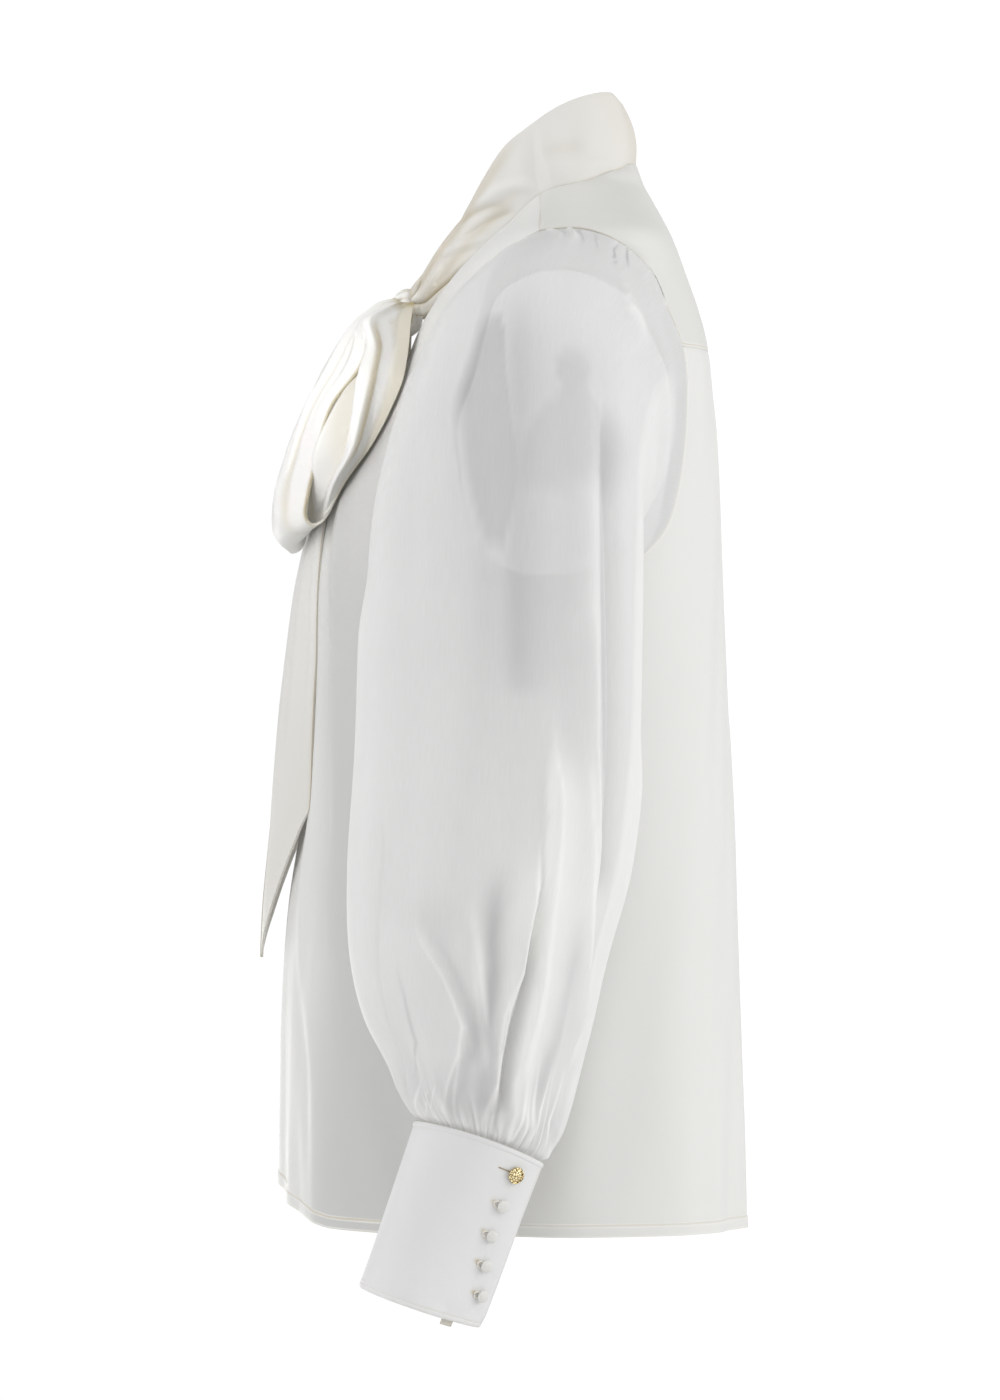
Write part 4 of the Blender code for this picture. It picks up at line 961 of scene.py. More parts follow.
def tail_grid(side):
    """One tail of the tie, down the front from under the knot to its slanted end."""
    place = np.linspace(0, len(TAIL) - 1, 110)
    w = np.linspace(0, 1, 36)
    in_x, in_z, out_x, out_z, in_off, out_off = np.moveaxis(through(TAIL, place), -1, 0)[:, :, None]
    x, z = in_x + (out_x - in_x) * w, in_z + (out_z - in_z) * w
    down = place[:, None] / (len(TAIL) - 1)
    relief = creased(w[None, :], down, TAIL_FOLDS) * ease(0.0, 0.12, down)
    relief = relief + 0.0005 * ripple(61 if side > 0 else 62, w[None, :] * 7, down, 5, 12.0) * ease(0, 0.15, down)
    edge = ease(0.06, 0.0, w) + ease(0.94, 1.0, w)
    off = in_off + (out_off - in_off) * w + np.maximum(relief, -0.0009) - 0.0003 * edge[None, :]
    off = off - EDGE_DROP * ease(0.86, 1.0, w)[None, :] * ease(0.1, 0.3, down)
    # Painted shade: darker under the knot and along both edges, and darker and warmer towards its end.
    shade = 0.9 * ease(0.05, 0.0, down) + 0.3 * (ease(0.965, 0.995, w) + ease(0.035, 0.005, w))[None, :]
    shade = shade + 0.14 * ease(0.45, 1.0, down)
    return np.stack([side * x, chest(x, z) - off, z], -1), np.clip(shade, 0, 1)


# ---------------------------------------------------------------- cuffs

def cuff_axes(side):
    across = np.array((side, 0.0, 0.0))
    rear = np.array((0.0, math.cos(CUFF_TILT), -math.sin(CUFF_TILT)))
    down = np.array((0.0, -math.sin(CUFF_TILT), -math.cos(CUFF_TILT)))
    return CUFF_TOP * np.array((side, 1.0, 1.0)), across, rear, down


def cuff_point(side, degrees, drop, out=0.0):
    """Points of the cuff's oval: 0 degrees faces away from the body, 90 degrees the back."""
    top, across, rear, down = cuff_axes(side)
    degrees, drop, out = np.broadcast_arrays(degrees, drop, out)
    turn = np.radians(degrees)
    lean = CUFF_TAPER * np.maximum(0.0, drop) / CUFF_LENGTH * (0.5 + 0.5 * np.sin(turn))
    wide = (CUFF_HALF[0] + out) * np.cos(turn)
    deep = (CUFF_HALF[1] + out) * np.sin(turn) - lean
    rise = CUFF_CROWN * np.maximum(0.0, np.cos(turn)) ** 1.5 * (1 - drop / CUFF_LENGTH)
    return top + across * wide[..., None] + rear * deep[..., None] + down * (drop - rise)[..., None]


def wrapped(degrees):
    """How far the cuff's outer layer is off its oval at degrees past the start of its last turn."""
    return CUFF_STEP * (degrees + 360.0 - CUFF_START) / CUFF_TURN


def cuff_middle(side, points):
    """The cuff's middle line at the height of each point."""
    top, _, _, down = cuff_axes(side)
    return top + ((points - top) @ down)[..., None] * down


def cuff_relief(degrees, drop, share):
    """The interfaced cuff's surface: soft unevenness, a stitched-down edge, pulls at the buttons."""
    clear = ease(0.0, 0.008, drop) * ease(0.0, 0.008, CUFF_LENGTH - drop)
    out = 0.0011 * ripple(71, np.radians(degrees) * 3, drop * 45, 6, 1.0) * clear
    out = out - 0.00022 * (bell(drop, CUFF_SEAM, 0.0005) + bell(CUFF_LENGTH - drop, CUFF_SEAM, 0.0005))
    out = out - 0.0005 * (ease(0.0009, 0.0, drop) + ease(CUFF_LENGTH - 0.0009, CUFF_LENGTH, drop))
    last = CUFF_START + CUFF_TURN - degrees
    out = out - 0.00022 * bell(last, 4.0, 0.9) - 0.0005 * ease(1.2, 0.0, last)
    outer = ease(0.85, 0.9, share)
    for at, below in BUTTONS:
        across = (degrees - 360.0 - at) * CUFF_DEGREE
        out = out - 0.00065 * outer * bell(across, -0.0045, 0.0034) * bell(drop, below, 0.0022)
        out = out + 0.00035 * outer * bell(across, -0.0095, 0.005) * bell(drop, below + 0.0045, 0.002)
    return np.maximum(out, -0.0006)


def cuff_grid(side):
    """A deep cuff: one strip wrapped a little more than once round, its outer end on top."""
    drop = marks((0, 0.0032, 9), (0.0032, 0.0948, 50), (0.0948, CUFF_LENGTH, 9))[:, None]
    share = marks((0, 0.86, 90), (0.86, 1.0, 72))[None, :]
    degrees = CUFF_START + CUFF_TURN * share
    turn, rest = np.radians(degrees), CUFF_LENGTH - drop
    relief = cuff_relief(degrees, drop, share)
    rib = bell(drop, 0.001, 0.0006) - 0.6 * bell(drop, CUFF_SEAM, 0.0004)
    # Painted shade along the stitched grooves, the edges and the outer end's stitches.
    shade = 0.3 * bell(drop, CUFF_SEAM, 0.0004) + 0.22 * (1 - ease(0.0001, 0.0006, drop))
    shade = shade + 0.22 * bell(rest, CUFF_SEAM, 0.0005) + 0.2 * (1 - ease(0.0001, 0.0008, rest))
    shade = shade + 0.25 * bell(CUFF_START + CUFF_TURN - degrees, 4.0, 0.8)
    # Painted shade, darker over most of the way round, in uneven patches.
    cuff_shade_mask = ease(384.0, 352.0, degrees + 10.0 * ripple(73, turn * 2, drop * 30, 5, 1.0)) * ease(0.06, 0.02, shade)
    shade = shade - (0.075 + 0.03 * ripple(74, turn * 2, drop * 40, 5, 1.0)) * cuff_shade_mask
    # Painted shadow beside each covered button.
    for at, below in BUTTONS[1:]:
        across = (degrees - 360.0 - at) * CUFF_DEGREE
        spot = bell(across, -0.0052, 0.0017) * bell(drop, below - 0.0012, 0.0011)
        shade = shade + 0.85 * ease(0.85, 0.9, share) * spot
    return cuff_point(side, degrees, drop, CUFF_STEP * share + relief + 0.0003 * rib), np.clip(shade, -1, 1)


def tab_grid(side):
    drop = np.linspace(TAB_DROPS[0], TAB_DROPS[-1], 24)[:, None]
    degrees = np.linspace(*TAB_DEGREES, 30)[None, :]
    soft = 0.0002 * np.sin(degrees * 0.9) * ease(TAB_DROPS[1], TAB_DROPS[2], drop)
    return cuff_point(side, degrees, drop, wrapped(degrees) - TAB_GAP - TAB_WALL + soft)


def button_frame(side, degrees, drop):
    """A button's seat on the cuff, and the way it faces, its across and its down."""
    out = wrapped(degrees) + CUFF_WALL + BUTTON_SEAT
    seat = cuff_point(side, degrees, drop, out)
    across = cuff_point(side, degrees + 3.0, drop, out) - cuff_point(side, degrees - 3.0, drop, out)
    down = cuff_axes(side)[3]
    facing = np.cross(across, down) * -side
    facing, across = unit(facing), unit(across)
    return seat, facing, across, np.cross(facing, across)


def turned(name, profile, frame_of, finish, steps, relief=None):
    """A button turned about its axis from a profile of radius and height, with its face's relief."""
    seat, facing, across, down = frame_of
    turn = full_turn(steps)
    radius, height = np.array(profile).T
    x, y = radius[:, None] * np.cos(turn), radius[:, None] * np.sin(turn)
    rise = height[:, None] + (0 if relief is None else relief(radius[:, None], turn[None, :]))
    grid = seat + across * x[..., None] + down * y[..., None] + facing * rise[..., None]
    centre = seat + facing * 0.0008
    return cloth(name, grid, finish, lambda points: centre, ring=True)


def gold_profile():
    """A domed metal face inside a rounded rim, and a flat back."""
    face = [(r, 0.0014 + 0.001 * math.cos(r / 0.0042 * math.pi / 2)) for r in np.linspace(0.00002, 0.004, 22)]
    rim = [(0.00435 + 0.00058 * math.cos(a), 0.00125 + 0.0008 * math.sin(a)) for a in np.linspace(2.6, -1.2, 14)]
    return face + rim + [(0.0044, 0.0), (0.002, 0.0), (0.00002, 0.0)]


def petals(radius, turn):
    """Generic relief of a button's face: a ring of small lobes round a boss."""
    band = bell(radius, 0.0024, 0.0008)
    return 0.00032 * band * (0.5 + 0.5 * np.cos(8 * turn)) + 0.00025 * bell(radius, 0, 0.0009) - 0.00012 * band


def covered_profile():
    """A cloth-covered ball, its cloth drawn in under it."""
    turns = np.linspace(0.01, math.pi / 2, 16)
    top = [(0.0038 * math.sin(a), 0.0014 + 0.002 * math.cos(a)) for a in turns]
    under = [(0.0038 * math.cos(a), 0.0014 - 0.0011 * math.sin(a)) for a in np.linspace(0.2, 1.3, 7)]
    return top + under + [(0.00002, 0.0002)]


# ---------------------------------------------------------------- sleeves

def armhole_loop(theta):
    """The armhole of the left side at degrees round the sleeve: 0 shoulder, 90 back, 180 underarm."""
    cap = chart_row(YOKE_EDGE, np.clip(theta / ARMHOLE_CORNER, 0, 1))
    part = np.clip((theta - ARMHOLE_CORNER) / (180.0 - ARMHOLE_CORNER), 0, 1)
    rear = chart_row(BACK_ARMHOLE, part)
    ahead = chart_row(FRONT_ARMHOLE, np.clip((360.0 - theta) / 180.0, 0, 1))
    turn, z = (
        np.where(theta <= ARMHOLE_CORNER, c, np.where(theta <= 180.0, b, a)) for c, b, a in zip(cap, rear, ahead)
    )
    low = 0.5 - 0.5 * np.cos(np.radians(theta))
    return turn, z, ARMHOLE_OUT + (UNDERARM_OUT - ARMHOLE_OUT) * low


def sleeve_rings(theta):
    """Key rings of the left sleeve at those degrees: the armhole, the rows of SLEEVE, the cuff."""
    turn = np.radians(theta)
    reach, sweep = np.cos(turn), np.sin(turn)
    rings = [on_form(*armhole_loop(theta))]
    for out_x, out_z, in_x, in_z, ahead, behind, raised in SLEEVE:
        x = (out_x + in_x) / 2 + (out_x - in_x) / 2 * reach
        z = (out_z + in_z) / 2 + (out_z - in_z) / 2 * reach - raised * sweep
        y = (ahead + behind) / 2 + (behind - ahead) / 2 * sweep
        rings.append(np.stack([x, y, z], -1))
    rings.append(cuff_point(1, theta, -0.0016, 0.0004))
    return np.stack(rings)


SLEEVE_COLUMNS = 520


def sleeve_frame():
    """Degrees round the sleeve's grid, its plain points, and each one's way out of the tube."""
    last = len(SLEEVE) + 1
    place = marks((0, 0.9, 24), (0.9, 7.0, 42), (7.0, last - 0.9, 72), (last - 0.9, last, 36))
    theta = np.linspace(0, 360, SLEEVE_COLUMNS + 1)[:-1]
    grid = through(sleeve_rings(theta), place)
    outer, inner = (through(sleeve_rings(np.array((at,))), place) for at in (0.0, 180.0))
    return theta, grid, unit(grid - (outer + inner) / 2)


def bent(theta, up, rows):
    """How many degrees each place is round from a line given by rows of height and degrees."""
    heights, turns = np.array(rows).T
    return within_half(theta - np.interp(up, heights, turns))


def long_folds(theta, up, girth, folds):
    """The big folds: each with its own slope on either side, standing out or sunk in."""
    out = level_zero(theta, up)
    for rows, before, after, depth in folds:
        low, high = rows[0][0], rows[-1][0]
        off = bent(theta, up, rows) * girth / 360.0
        wide = np.where(off < 0, before, after)
        fade = ease(low - 0.004, low + 0.018, up) * ease(high + 0.015, high - 0.03, up)
        out += depth * fade * bell(off, 0, wide)
    return out


# Gathers: how many round the sleeve, their heights, how far they reach from the seam, their width
FINE_GATHERS = (92, (0.0005, 0.0013), (0.008, 0.03), 0.0009)
BROAD_GATHERS = (34, (0.0012, 0.003), (0.03, 0.085), 0.0022)
CAP_GATHERS = (46, (0.0006, 0.0025), (0.01, 0.034), 0.0016)


def gathers(theta, up, girth, seed, count, heights, reaches, width):
    """Gathers drawn up by a seam: ridges of uneven height and length that spread as they rise."""
    rng = np.random.default_rng(seed)
    turns = (np.arange(count) + rng.uniform(-0.32, 0.32, count)) * 360.0 / count
    tall, reach = rng.uniform(*heights, count), rng.uniform(*reaches, count)
    lean = rng.uniform(-55.0, 55.0, count)
    out = level_zero(theta, up)
    for turn, high, far, slope in zip(turns, tall, reach, lean):
        off = within_half(theta - turn - slope * up)
        spread_out = width * (0.8 + 1.6 * up / far)
        near = np.exp(-np.minimum((off * girth / 360.0 / spread_out) ** 2, 30.0))
        out += high * near * ease(far, far * 0.15, up)
    return out


def measured(folds, depth_unit):
    """Fold lines given in millimetres and degrees, turned to metres and degrees."""
    return [
        (np.array(rows) / (MM, 1), before / MM, after / MM, depth / depth_unit)
        for rows, before, after, depth in folds
    ]


# Long folds of the sleeve, each line as rows of height above the cuff and degrees round the sleeve
# (0 faces away from the body, 90 the back), then its half width before and after the line, and its depth
LONG_FOLDS = measured((
    # the ridge that rises from the cuff's middle, steep in front
    (((2, 19.5), (23, 20.6), (47, 23), (69, 27.5), (95, 29.6), (138, 27.6), (180, 26.5), (225, 22.5)),
     2.8, 19, 6.6),
    # its neighbour, steep behind, and the deep narrow valley between the two
    (((8, 1), (27.5, 10), (58, 13.5), (77, 15.5), (98, 20), (137, 22), (160, 22)),
     13, 2.2, 5),
    (((18, 16), (47, 18), (69, 20.5), (98, 25), (125, 25.2), (150, 24.8)), 2.6, 2.6, -4.2),
    # the puff from the front and the line it falls to
    (((0, -34), (19, -24.5), (34, -16), (54, -9.6), (78, -10.9), (90, -15.4), (100, -20.6),
      (108, -27), (118, -31)), 22, 4, 3),
    # the hollow behind the puff, and the pale band that crosses it
    (((40, 0), (62, 5), (83, 9.5), (97, 10), (111, 8.5), (140, 6)), 8, 6, -5),
    (((36, 7), (58, 5), (79, 2.5), (104, 0)), 3, 3, 2.6),
    # the long groove down the back half, with a ridge before it
    (((150, 58), (202, 58), (232, 57), (350, 51.5), (430, 45)), 3.2, 11, -4.2),
    (((70, 76), (113, 62), (149, 54), (196, 46.5), (240, 42), (300, 39)), 11, 4.5, 3.4),
    # soft hanging of the upper arm
    (((250, 8), (307, 7), (362, 6), (425, 5), (490, 1.5)), 12, 15, -4.2),
    (((280, 36), (341, 39.5), (400, 37), (450, 33)), 12, 9, 2.8),
    (((480, 60), (504, 48.5), (530, 36.5)), 3, 6, 2.2),
    (((120, -20), (200, -24), (300, -28), (400, -30)), 14, 12, 2.8),
    (((20, -62), (60, -60), (120, -55), (180, -52)), 4, 12, -3.4),
), MM)


# Painted shade and highlights, where the sheer looks denser or thinner than its relief alone makes it: lines as
# above, half widths, and how much
PAINTED_FOLD_TONES = measured((
    # the two long ridges, and the valley between them
    (((2, 21.2), (11, 21.2), (36, 21.9), (57, 25.7), (78, 28.9), (101, 29.6), (150, 27.6),
      (190, 25.1), (230, 22.5)), 1.1, 2.2, 0.42),
    (((4, -0.6), (34, 11.6), (51, 12.2), (74, 14.8), (96, 20.6), (125, 25.1), (149, 21.9),
      (170, 21.2)), 1.1, 0.9, 0.42),
    (((4, 16.1), (18, 18), (51, 20.6), (85, 24), (105, 25.7), (127, 25.7)), 2.8, 2.8, -0.55),
    # the hollow before them, and the pale band across it
    (((5, -5.1), (16, -0.6), (42, 5), (61, 7.1), (81, 7.7), (102, 10.3), (122, 8.4), (150, 6)),
     6, 7, -0.48),
    (((52, 5.8), (64, 5.8), (80, 3.2), (107, 0.6), (118, -1.3), (135, -4)), 3, 2.6, 0.26),
    # the edge of the front puff and its shaded side
    (((2, -33.4), (28, -20.6), (46, -11.6), (63, -7.7), (77, -11.6), (93, -18), (108, -27),
      (118, -31)), 1, 0.8, 0.22),
    (((2, -28), (28, -16.6), (46, -7.6), (63, -3.7), (77, -7.6), (93, -14), (108, -23),
      (118, -27)), 2.2, 6, -0.34),
    (((2, -23.8), (18, -19.3), (38, -12.9), (56, -9)), 0.9, 0.9, 0.3),
    (((27, -54.6), (50, -39.2), (77, -39.9), (90, -42)), 1.2, 1.6, -0.3),
    # the back half: pale line, dark groove, pale edge
    (((77, 73.9), (98, 77), (119, 70), (157, 56.6), (168, 54.6), (260, 47), (330, 43)),
     1.2, 1, 0.3),
    (((155, 57.9), (173, 58.5), (192, 52.7), (260, 48.2), (338, 44.4), (416, 44.4)), 2.4, 10, -0.36),
    (((128, 59.8), (155, 50.8), (193, 42.4), (227, 39.2)), 2, 2, 0.16),
    (((25, 37.3), (39, 38.6), (67, 46.3), (114, 48.2), (132, 46.9)), 6.5, 7, -0.42),
    # close folds over the cuff
    (((1, -55.9), (20, -39.2)), 0.8, 0.8, 0.68),
    (((1, -64), (26, -47)), 0.8, 0.8, 0.6),
    (((2, -46), (24, -31)), 0.7, 0.7, 0.5),
    (((2, 12), (20, 15.5)), 0.8, 0.8, 0.56),
    (((2, 33.5), (30, 31.5)), 0.8, 0.8, 0.6),
    (((2, 57.5), (34, 52)), 0.8, 1, 0.56),
    (((5, 41.8), (30, 36), (48, 34.7)), 1.2, 1, 0.72),
    (((5, 50.1), (26, 43.7), (47, 46.3)), 0.9, 0.9, 0.56),
    (((5, 68.8), (23, 62.4), (45, 64.9)), 1, 1, 0.6),
    (((1, 6.4), (12, 9), (28, 14.1)), 0.9, 0.9, 0.6),
    (((2, 27.6), (9, 26.4), (28, 27)), 0.9, 0.9, 0.52),
    # puckers of the cap
    (((535, 32.1), (548, 27.6)), 0.8, 0.8, -2.6),
    (((540, 36), (554, 31.5)), 0.8, 0.8, -2.6),
    (((550, 5.8), (563.2, 5.8)), 0.9, 0.9, -1.6),
    (((546, 14.8), (558.7, 12.9)), 0.9, 0.9, -1.6),
    (((544, 21.9), (552.8, 19.3)), 0.9, 0.9, -1.6),
    (((487.5, 59.8), (502.6, 48.2), (528.6, 36.6)), 1.2, 2.2, 0.2),
    (((250, 8), (310, 7.1), (368, 6.4), (420, 5.1), (490, 0.6)), 10, 10, -0.16),
    (((290, 39.2), (340, 39.2), (400, 38.6)), 6, 4, 0.16),
), 1)


def unseen_folds(seed):
    """Folds of the same kind round the rest of the sleeve."""
    rng = np.random.default_rng(seed)
    folds = []
    for turn in np.arange(100.0, 275.0, 21.0):
        turn, top = turn + rng.uniform(-6, 6), rng.uniform(0.14, 0.36)
        drift = rng.uniform(-10, 10)
        rows = [(share * top, turn + drift * share) for share in (0.01, 0.4, 0.7, 1.0)]
        folds.append((rows, rng.uniform(0.003, 0.018), rng.uniform(0.003, 0.018), rng.uniform(-0.0045, 0.006)))
    return folds


def lengths(plain):
    """How far each point is from the sleeve's lower and upper end, and each row's girth."""
    steps = length_of(np.diff(plain, axis=0))
    down = np.concatenate([np.zeros((1, plain.shape[1])), np.cumsum(steps, 0)])
    girth = length_of(np.diff(closed(plain), axis=1)).sum(1)[:, None]
    return down[-1:] - down, down, girth


def within_armhole(points):
    """How far inside the open armhole each point lies, looking at the left side, in metres."""
    turn, z, out = armhole_loop(np.arange(0.0, 360.0, 5.0))
    edge = on_form(turn, z, out)[:, 1:]
    middle = (edge.max(0) + edge.min(0)) / 2
    (way, reach), (at, far) = (
        (np.arctan2(off[..., 1], off[..., 0]), length_of(off)) for off in (edge - middle, points[..., 1:] - middle)
    )
    order = np.argsort(way)
    return np.interp(at, way[order], reach[order], period=2 * math.pi) - far


# Fold tones of the sheer, its density and painted shade and highlight: what plain cloth has, and what its fullness,
# slope and relief add
PLAIN_TONE, FULL_TONE, SLOPE_TONE, RELIEF_TONE = 0.04, 0.57, 0.7, 25.0
# How far inside the open armhole the sheer begins to look thinner and painted darker, and over how far, and how
# much less both are under the front's edge
OPEN_FROM, OPEN_WIDE, OPEN_FROM_AHEAD, OPEN_WIDE_AHEAD = 0.028, 0.03, 0.027, 0.02
OPEN_FROM_HIGH = 0.034          # how much further in it begins high up
VEIL_TONE = 0.78                # the least tone over the back's edge, a painted highlight there


def sheer_tones(plain, signed, up, down, steep, out):
    """Fold tones of the sheer: dense and painted lighter over a panel, thinner and painted darker over the open
    armhole.
    """
    y, z = plain[..., 1], plain[..., 2]
    ahead = ease(-0.03, -0.044, y) * ease(-0.075, -0.1, z)
    start = OPEN_FROM + OPEN_FROM_HIGH * ease(-0.17, -0.1, z) * (1 - ahead) - OPEN_FROM_AHEAD * ahead
    wide = OPEN_WIDE - OPEN_WIDE_AHEAD * ahead
    loose = ease(0, 1, (within_armhole(plain) - start) / wide) * (0.7 + 0.3 * ahead)
    below = ease(0.07, 0.13, down) * ease(0.42, 0.24, down) * ease(-20.0, -6.0, signed) * ease(54.0, 34.0, signed)
    loose = np.maximum(loose, 0.36 * below) * ease(110.0, 90.0, np.abs(signed - 6.0))
    return PLAIN_TONE + FULL_TONE * (1 - loose) + SLOPE_TONE * steep + RELIEF_TONE * out


def sleeve_grid(side):
    """A full sheer sleeve: puckered at its cap, hanging in long folds, gathered close at the cuff.

    Beside its points it gives how dense each looks, from 0 in a hollow to 1, which also paints its shade and
    highlights.
    """
    theta, plain, away = sleeve_frame()
    up, down, girth = lengths(plain)
    turn = theta[None, :]
    signed = within_half(turn)
    round_it = np.radians((turn + 180.0) % 360.0)
    seed = 80 if side > 0 else 90
    out = long_folds(turn + (0.0 if side > 0 else 5.0), up, girth, LONG_FOLDS) * (1.25 if side > 0 else 1.1)
    out = out + long_folds(turn, up, girth, unseen_folds(seed + 5))
    fine = gathers(turn, up, girth, seed, *FINE_GATHERS)
    broad = gathers(turn, up, girth, seed + 1, *BROAD_GATHERS)
    out = out + (fine + broad) * ease(-0.0005, 0.0035, up) + 0.0007 * fine / 0.0013 - 0.0011 * ease(0.085, 0.02, up)
    over = np.maximum(0.0, np.cos(np.radians(theta - 12.0)))[None, :] ** 0.6
    cap = gathers(turn, down, girth, seed + 2, *CAP_GATHERS)
    out = out + cap * over * ease(0.0, 0.0035, down)
    hang = ease(0.05, 0.2, down) * ease(0.02, 0.09, up)
    out = out + 0.0016 * hang * ripple(seed + 3, round_it * 4.0, down, 7, 8.0)
    clear = ease(0.0, 0.03, down) * ease(0.0, 0.02, up)
    out = out + 0.0005 * ripple(seed + 4, round_it * 11.0, down, 6, 22.0) * clear
    grid = plain + away * out[..., None]
    across = girth / out.shape[1]
    around = np.concatenate([out[:, -1:], out, out[:, :1]], 1)
    steep = 1 - 1 / np.sqrt(1 + ((around[:, 2:] - around[:, :-2]) / (2 * across)) ** 2)
    tones = sheer_tones(plain, signed, up, down, steep, out)
    # Painted highlights on the fine gathers by the cuff and painted shade between them, the painted fold lines, and
    # a painted highlight over the back's edge.
    tones = tones + (240.0 * fine - 0.24) * ease(0.05, 0.012, up) + long_folds(turn, up, girth, PAINTED_FOLD_TONES)
    veil = ease(58.0, 80.0, signed) * ease(160.0, 130.0, signed) * ease(0.02, 0.06, down) * ease(0.02, 0.07, up)
    tones = np.maximum(np.clip(tones, 0, 1), VEIL_TONE * veil)
    tones = np.concatenate([tones[:1], tones, np.repeat(tones[-1:], 3, 0)])
    turn, z, _ = armhole_loop(theta)
    edge = on_form(turn, z, -0.0004)
    tucked = on_form(turn, z, -0.0013) + unit(edge - grid[3]) * 0.003
    grid[0] = edge
    ends = ((0.0002, -0.0006), (0.0022, -0.001), (0.0048, -0.0012))
    ends = [cuff_point(1, theta, drop, out) for drop, out in ends]
    return mirrored(np.concatenate([tucked[None], grid, np.stack(ends)]), side), tones


def within_sleeve(side):
    def inside(points):
        share = np.clip((-0.04 - points[..., 2]) / 0.52, 0, 1)
        x = 0.205 + 0.05 * ease(0.0, 0.5, share)
        return np.stack([side * x, -0.035 + 0 * x, np.minimum(points[..., 2], -0.14)], -1)
    return inside


# ---------------------------------------------------------------- sewing

def outward(grid, inside):
    """The grid's unit normals, pointing away from the inside."""
    normal = np.cross(np.gradient(grid, axis=0), np.gradient(grid, axis=1))
    normal /= np.maximum(np.linalg.norm(normal, axis=-1, keepdims=True), 1e-12)
    facing = np.sum(normal * (grid - inside(grid)), -1).sum()
    return normal if facing > 0 else -normal


STITCH_ROWS = ((0.35, -0.6), (1.0, 0.35), (1.0, 0.35), (0.35, -0.6))    # thickness and lift along a stitch
# From one stitch to the next, its length, its thread's radius
HEM_STITCH = (0.0031, 0.0022, 0.00016)
CUFF_STITCH = (0.0022, 0.0015, 0.00013)
BUTTONHOLE_STITCH = (0.00042, 0.0006, 0.00012)


def stitches(name, runs, pitch, length, radius):
    """Small stitches along runs of points and normals, each a thread that dips at both ends."""
    points, faces = [], []
    ring = full_turn(5)
    for line, normals in runs:
        at = reached(length_of(np.diff(line, axis=0)))
        for start in np.arange(pitch * 0.5, at[-1] - length, pitch):
            place = start + length * np.array((0.0, 0.22, 0.78, 1.0))
            spine = np.stack([np.interp(place, at, line[:, k]) for k in range(3)], -1)
            up = np.array([np.interp(start + length / 2, at, normals[:, k]) for k in range(3)])
            up /= np.linalg.norm(up)
            ahead = spine[-1] - spine[0]
            beside = np.cross(up, ahead / np.linalg.norm(ahead))
            base = len(points)
            for middle, (size, lift) in zip(spine, STITCH_ROWS):
                for a in ring:
                    points.append(middle + radius * (size * (math.cos(a) * beside + math.sin(a) * up) + lift * up))
            for low in range(base, base + 15, 5):
                faces += [(low + k, low + n, low + 5 + n, low + 5 + k) for k, n in zip(range(5), (1, 2, 3, 4, 0))]
            faces.append(tuple(base + k for k in reversed(range(5))))
            faces.append(tuple(base + 15 + k for k in range(5)))
    mesh = bpy.data.meshes.new(name)
    mesh.from_pydata([tuple(p) for p in points], [], faces)
    made = in_scene(name, mesh, THREAD)
    outward_faces(made)
    return made


def outward_faces(piece):
    alone(piece)
    bpy.ops.object.mode_set(mode="EDIT")
    bpy.ops.mesh.select_all(action="SELECT")
    bpy.ops.mesh.normals_make_consistent(inside=False)
    bpy.ops.object.mode_set(mode="OBJECT")


def level_run(grid, above, level, inside, lift):
    """The line on a grid at one height above its hem, and its normals."""
    normals = outward(grid, inside)
    rows = np.arange(grid.shape[0])
    line, ways = [], []
    for c in range(grid.shape[1]):
        row = np.interp(-level, -above[:, c], rows)
        low = min(int(row), grid.shape[0] - 2)
        t = row - low
        line.append(grid[low, c] * (1 - t) + grid[low + 1, c] * t)
        ways.append(normals[low, c])
    ways = np.array(ways)
    return np.array(line) + ways * lift, ways


def cuff_run(side, degrees, drop, lift=0.0):
    """A line on the cuff's outer layer and its normals, from degrees and drops."""
    share = (degrees + 360.0 - CUFF_START) / CUFF_TURN
    relief = cuff_relief(degrees + 360.0, drop, share)
    line = cuff_point(side, degrees, drop, CUFF_STEP * share + relief + CUFF_WALL + lift)
    return line, unit(line - cuff_middle(side, line))


def tubed(name, line, radius, finish, sides=10):
    """A thin round cord through a line of points, closed at both ends."""
    rows = len(line)
    ahead = unit(np.gradient(line, axis=0))
    beside = unit(np.cross(ahead, np.array((0.21, 0.13, 0.97))))
    up = np.cross(beside, ahead)
    turn = full_turn(sides)
    size = radius * np.concatenate([[0.15, 0.8], np.ones(rows - 4), [0.8, 0.15]])
    grid = line[:, None] + size[:, None, None] * (
        np.cos(turn)[None, :, None] * beside[:, None] + np.sin(turn)[None, :, None] * up[:, None]
    )
    made = cloth(name, grid, finish, lambda points: points, ring=True)
    outward_faces(made)
    return made


def button_loops(side):
    """The short cords that hold the covered buttons, from the cuff's edge round each button's foot."""
    lines = []
    for degrees, drop in BUTTONS[1:]:
        turn = np.linspace(-2.3, 2.3, 26)
        lines.append(cuff_run(side, degrees - 4.6 - 3.96 * np.cos(turn), drop + 0.0016 * np.sin(turn), 0.0004)[0])
    return lines


def joined(name, pieces):
    alone(pieces[0])
    for piece in pieces:
        piece.select_set(True)
    bpy.ops.object.join()
    pieces[0].name = pieces[0].data.name = name
    return pieces[0]


# ---------------------------------------------------------------- the pieces and what they stand for

def ready(piece, slot, *nodes):
    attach(piece, "root")
    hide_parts(*nodes)
    return piece


def cloth_piece(node, grid, finish, inside, wall=0.0, slot="silk", **more):
    """A cut piece of cloth that stands for one solid."""
    return ready(cloth(node + "_cloth", grid, finish, inside, wall, **more), slot, node)


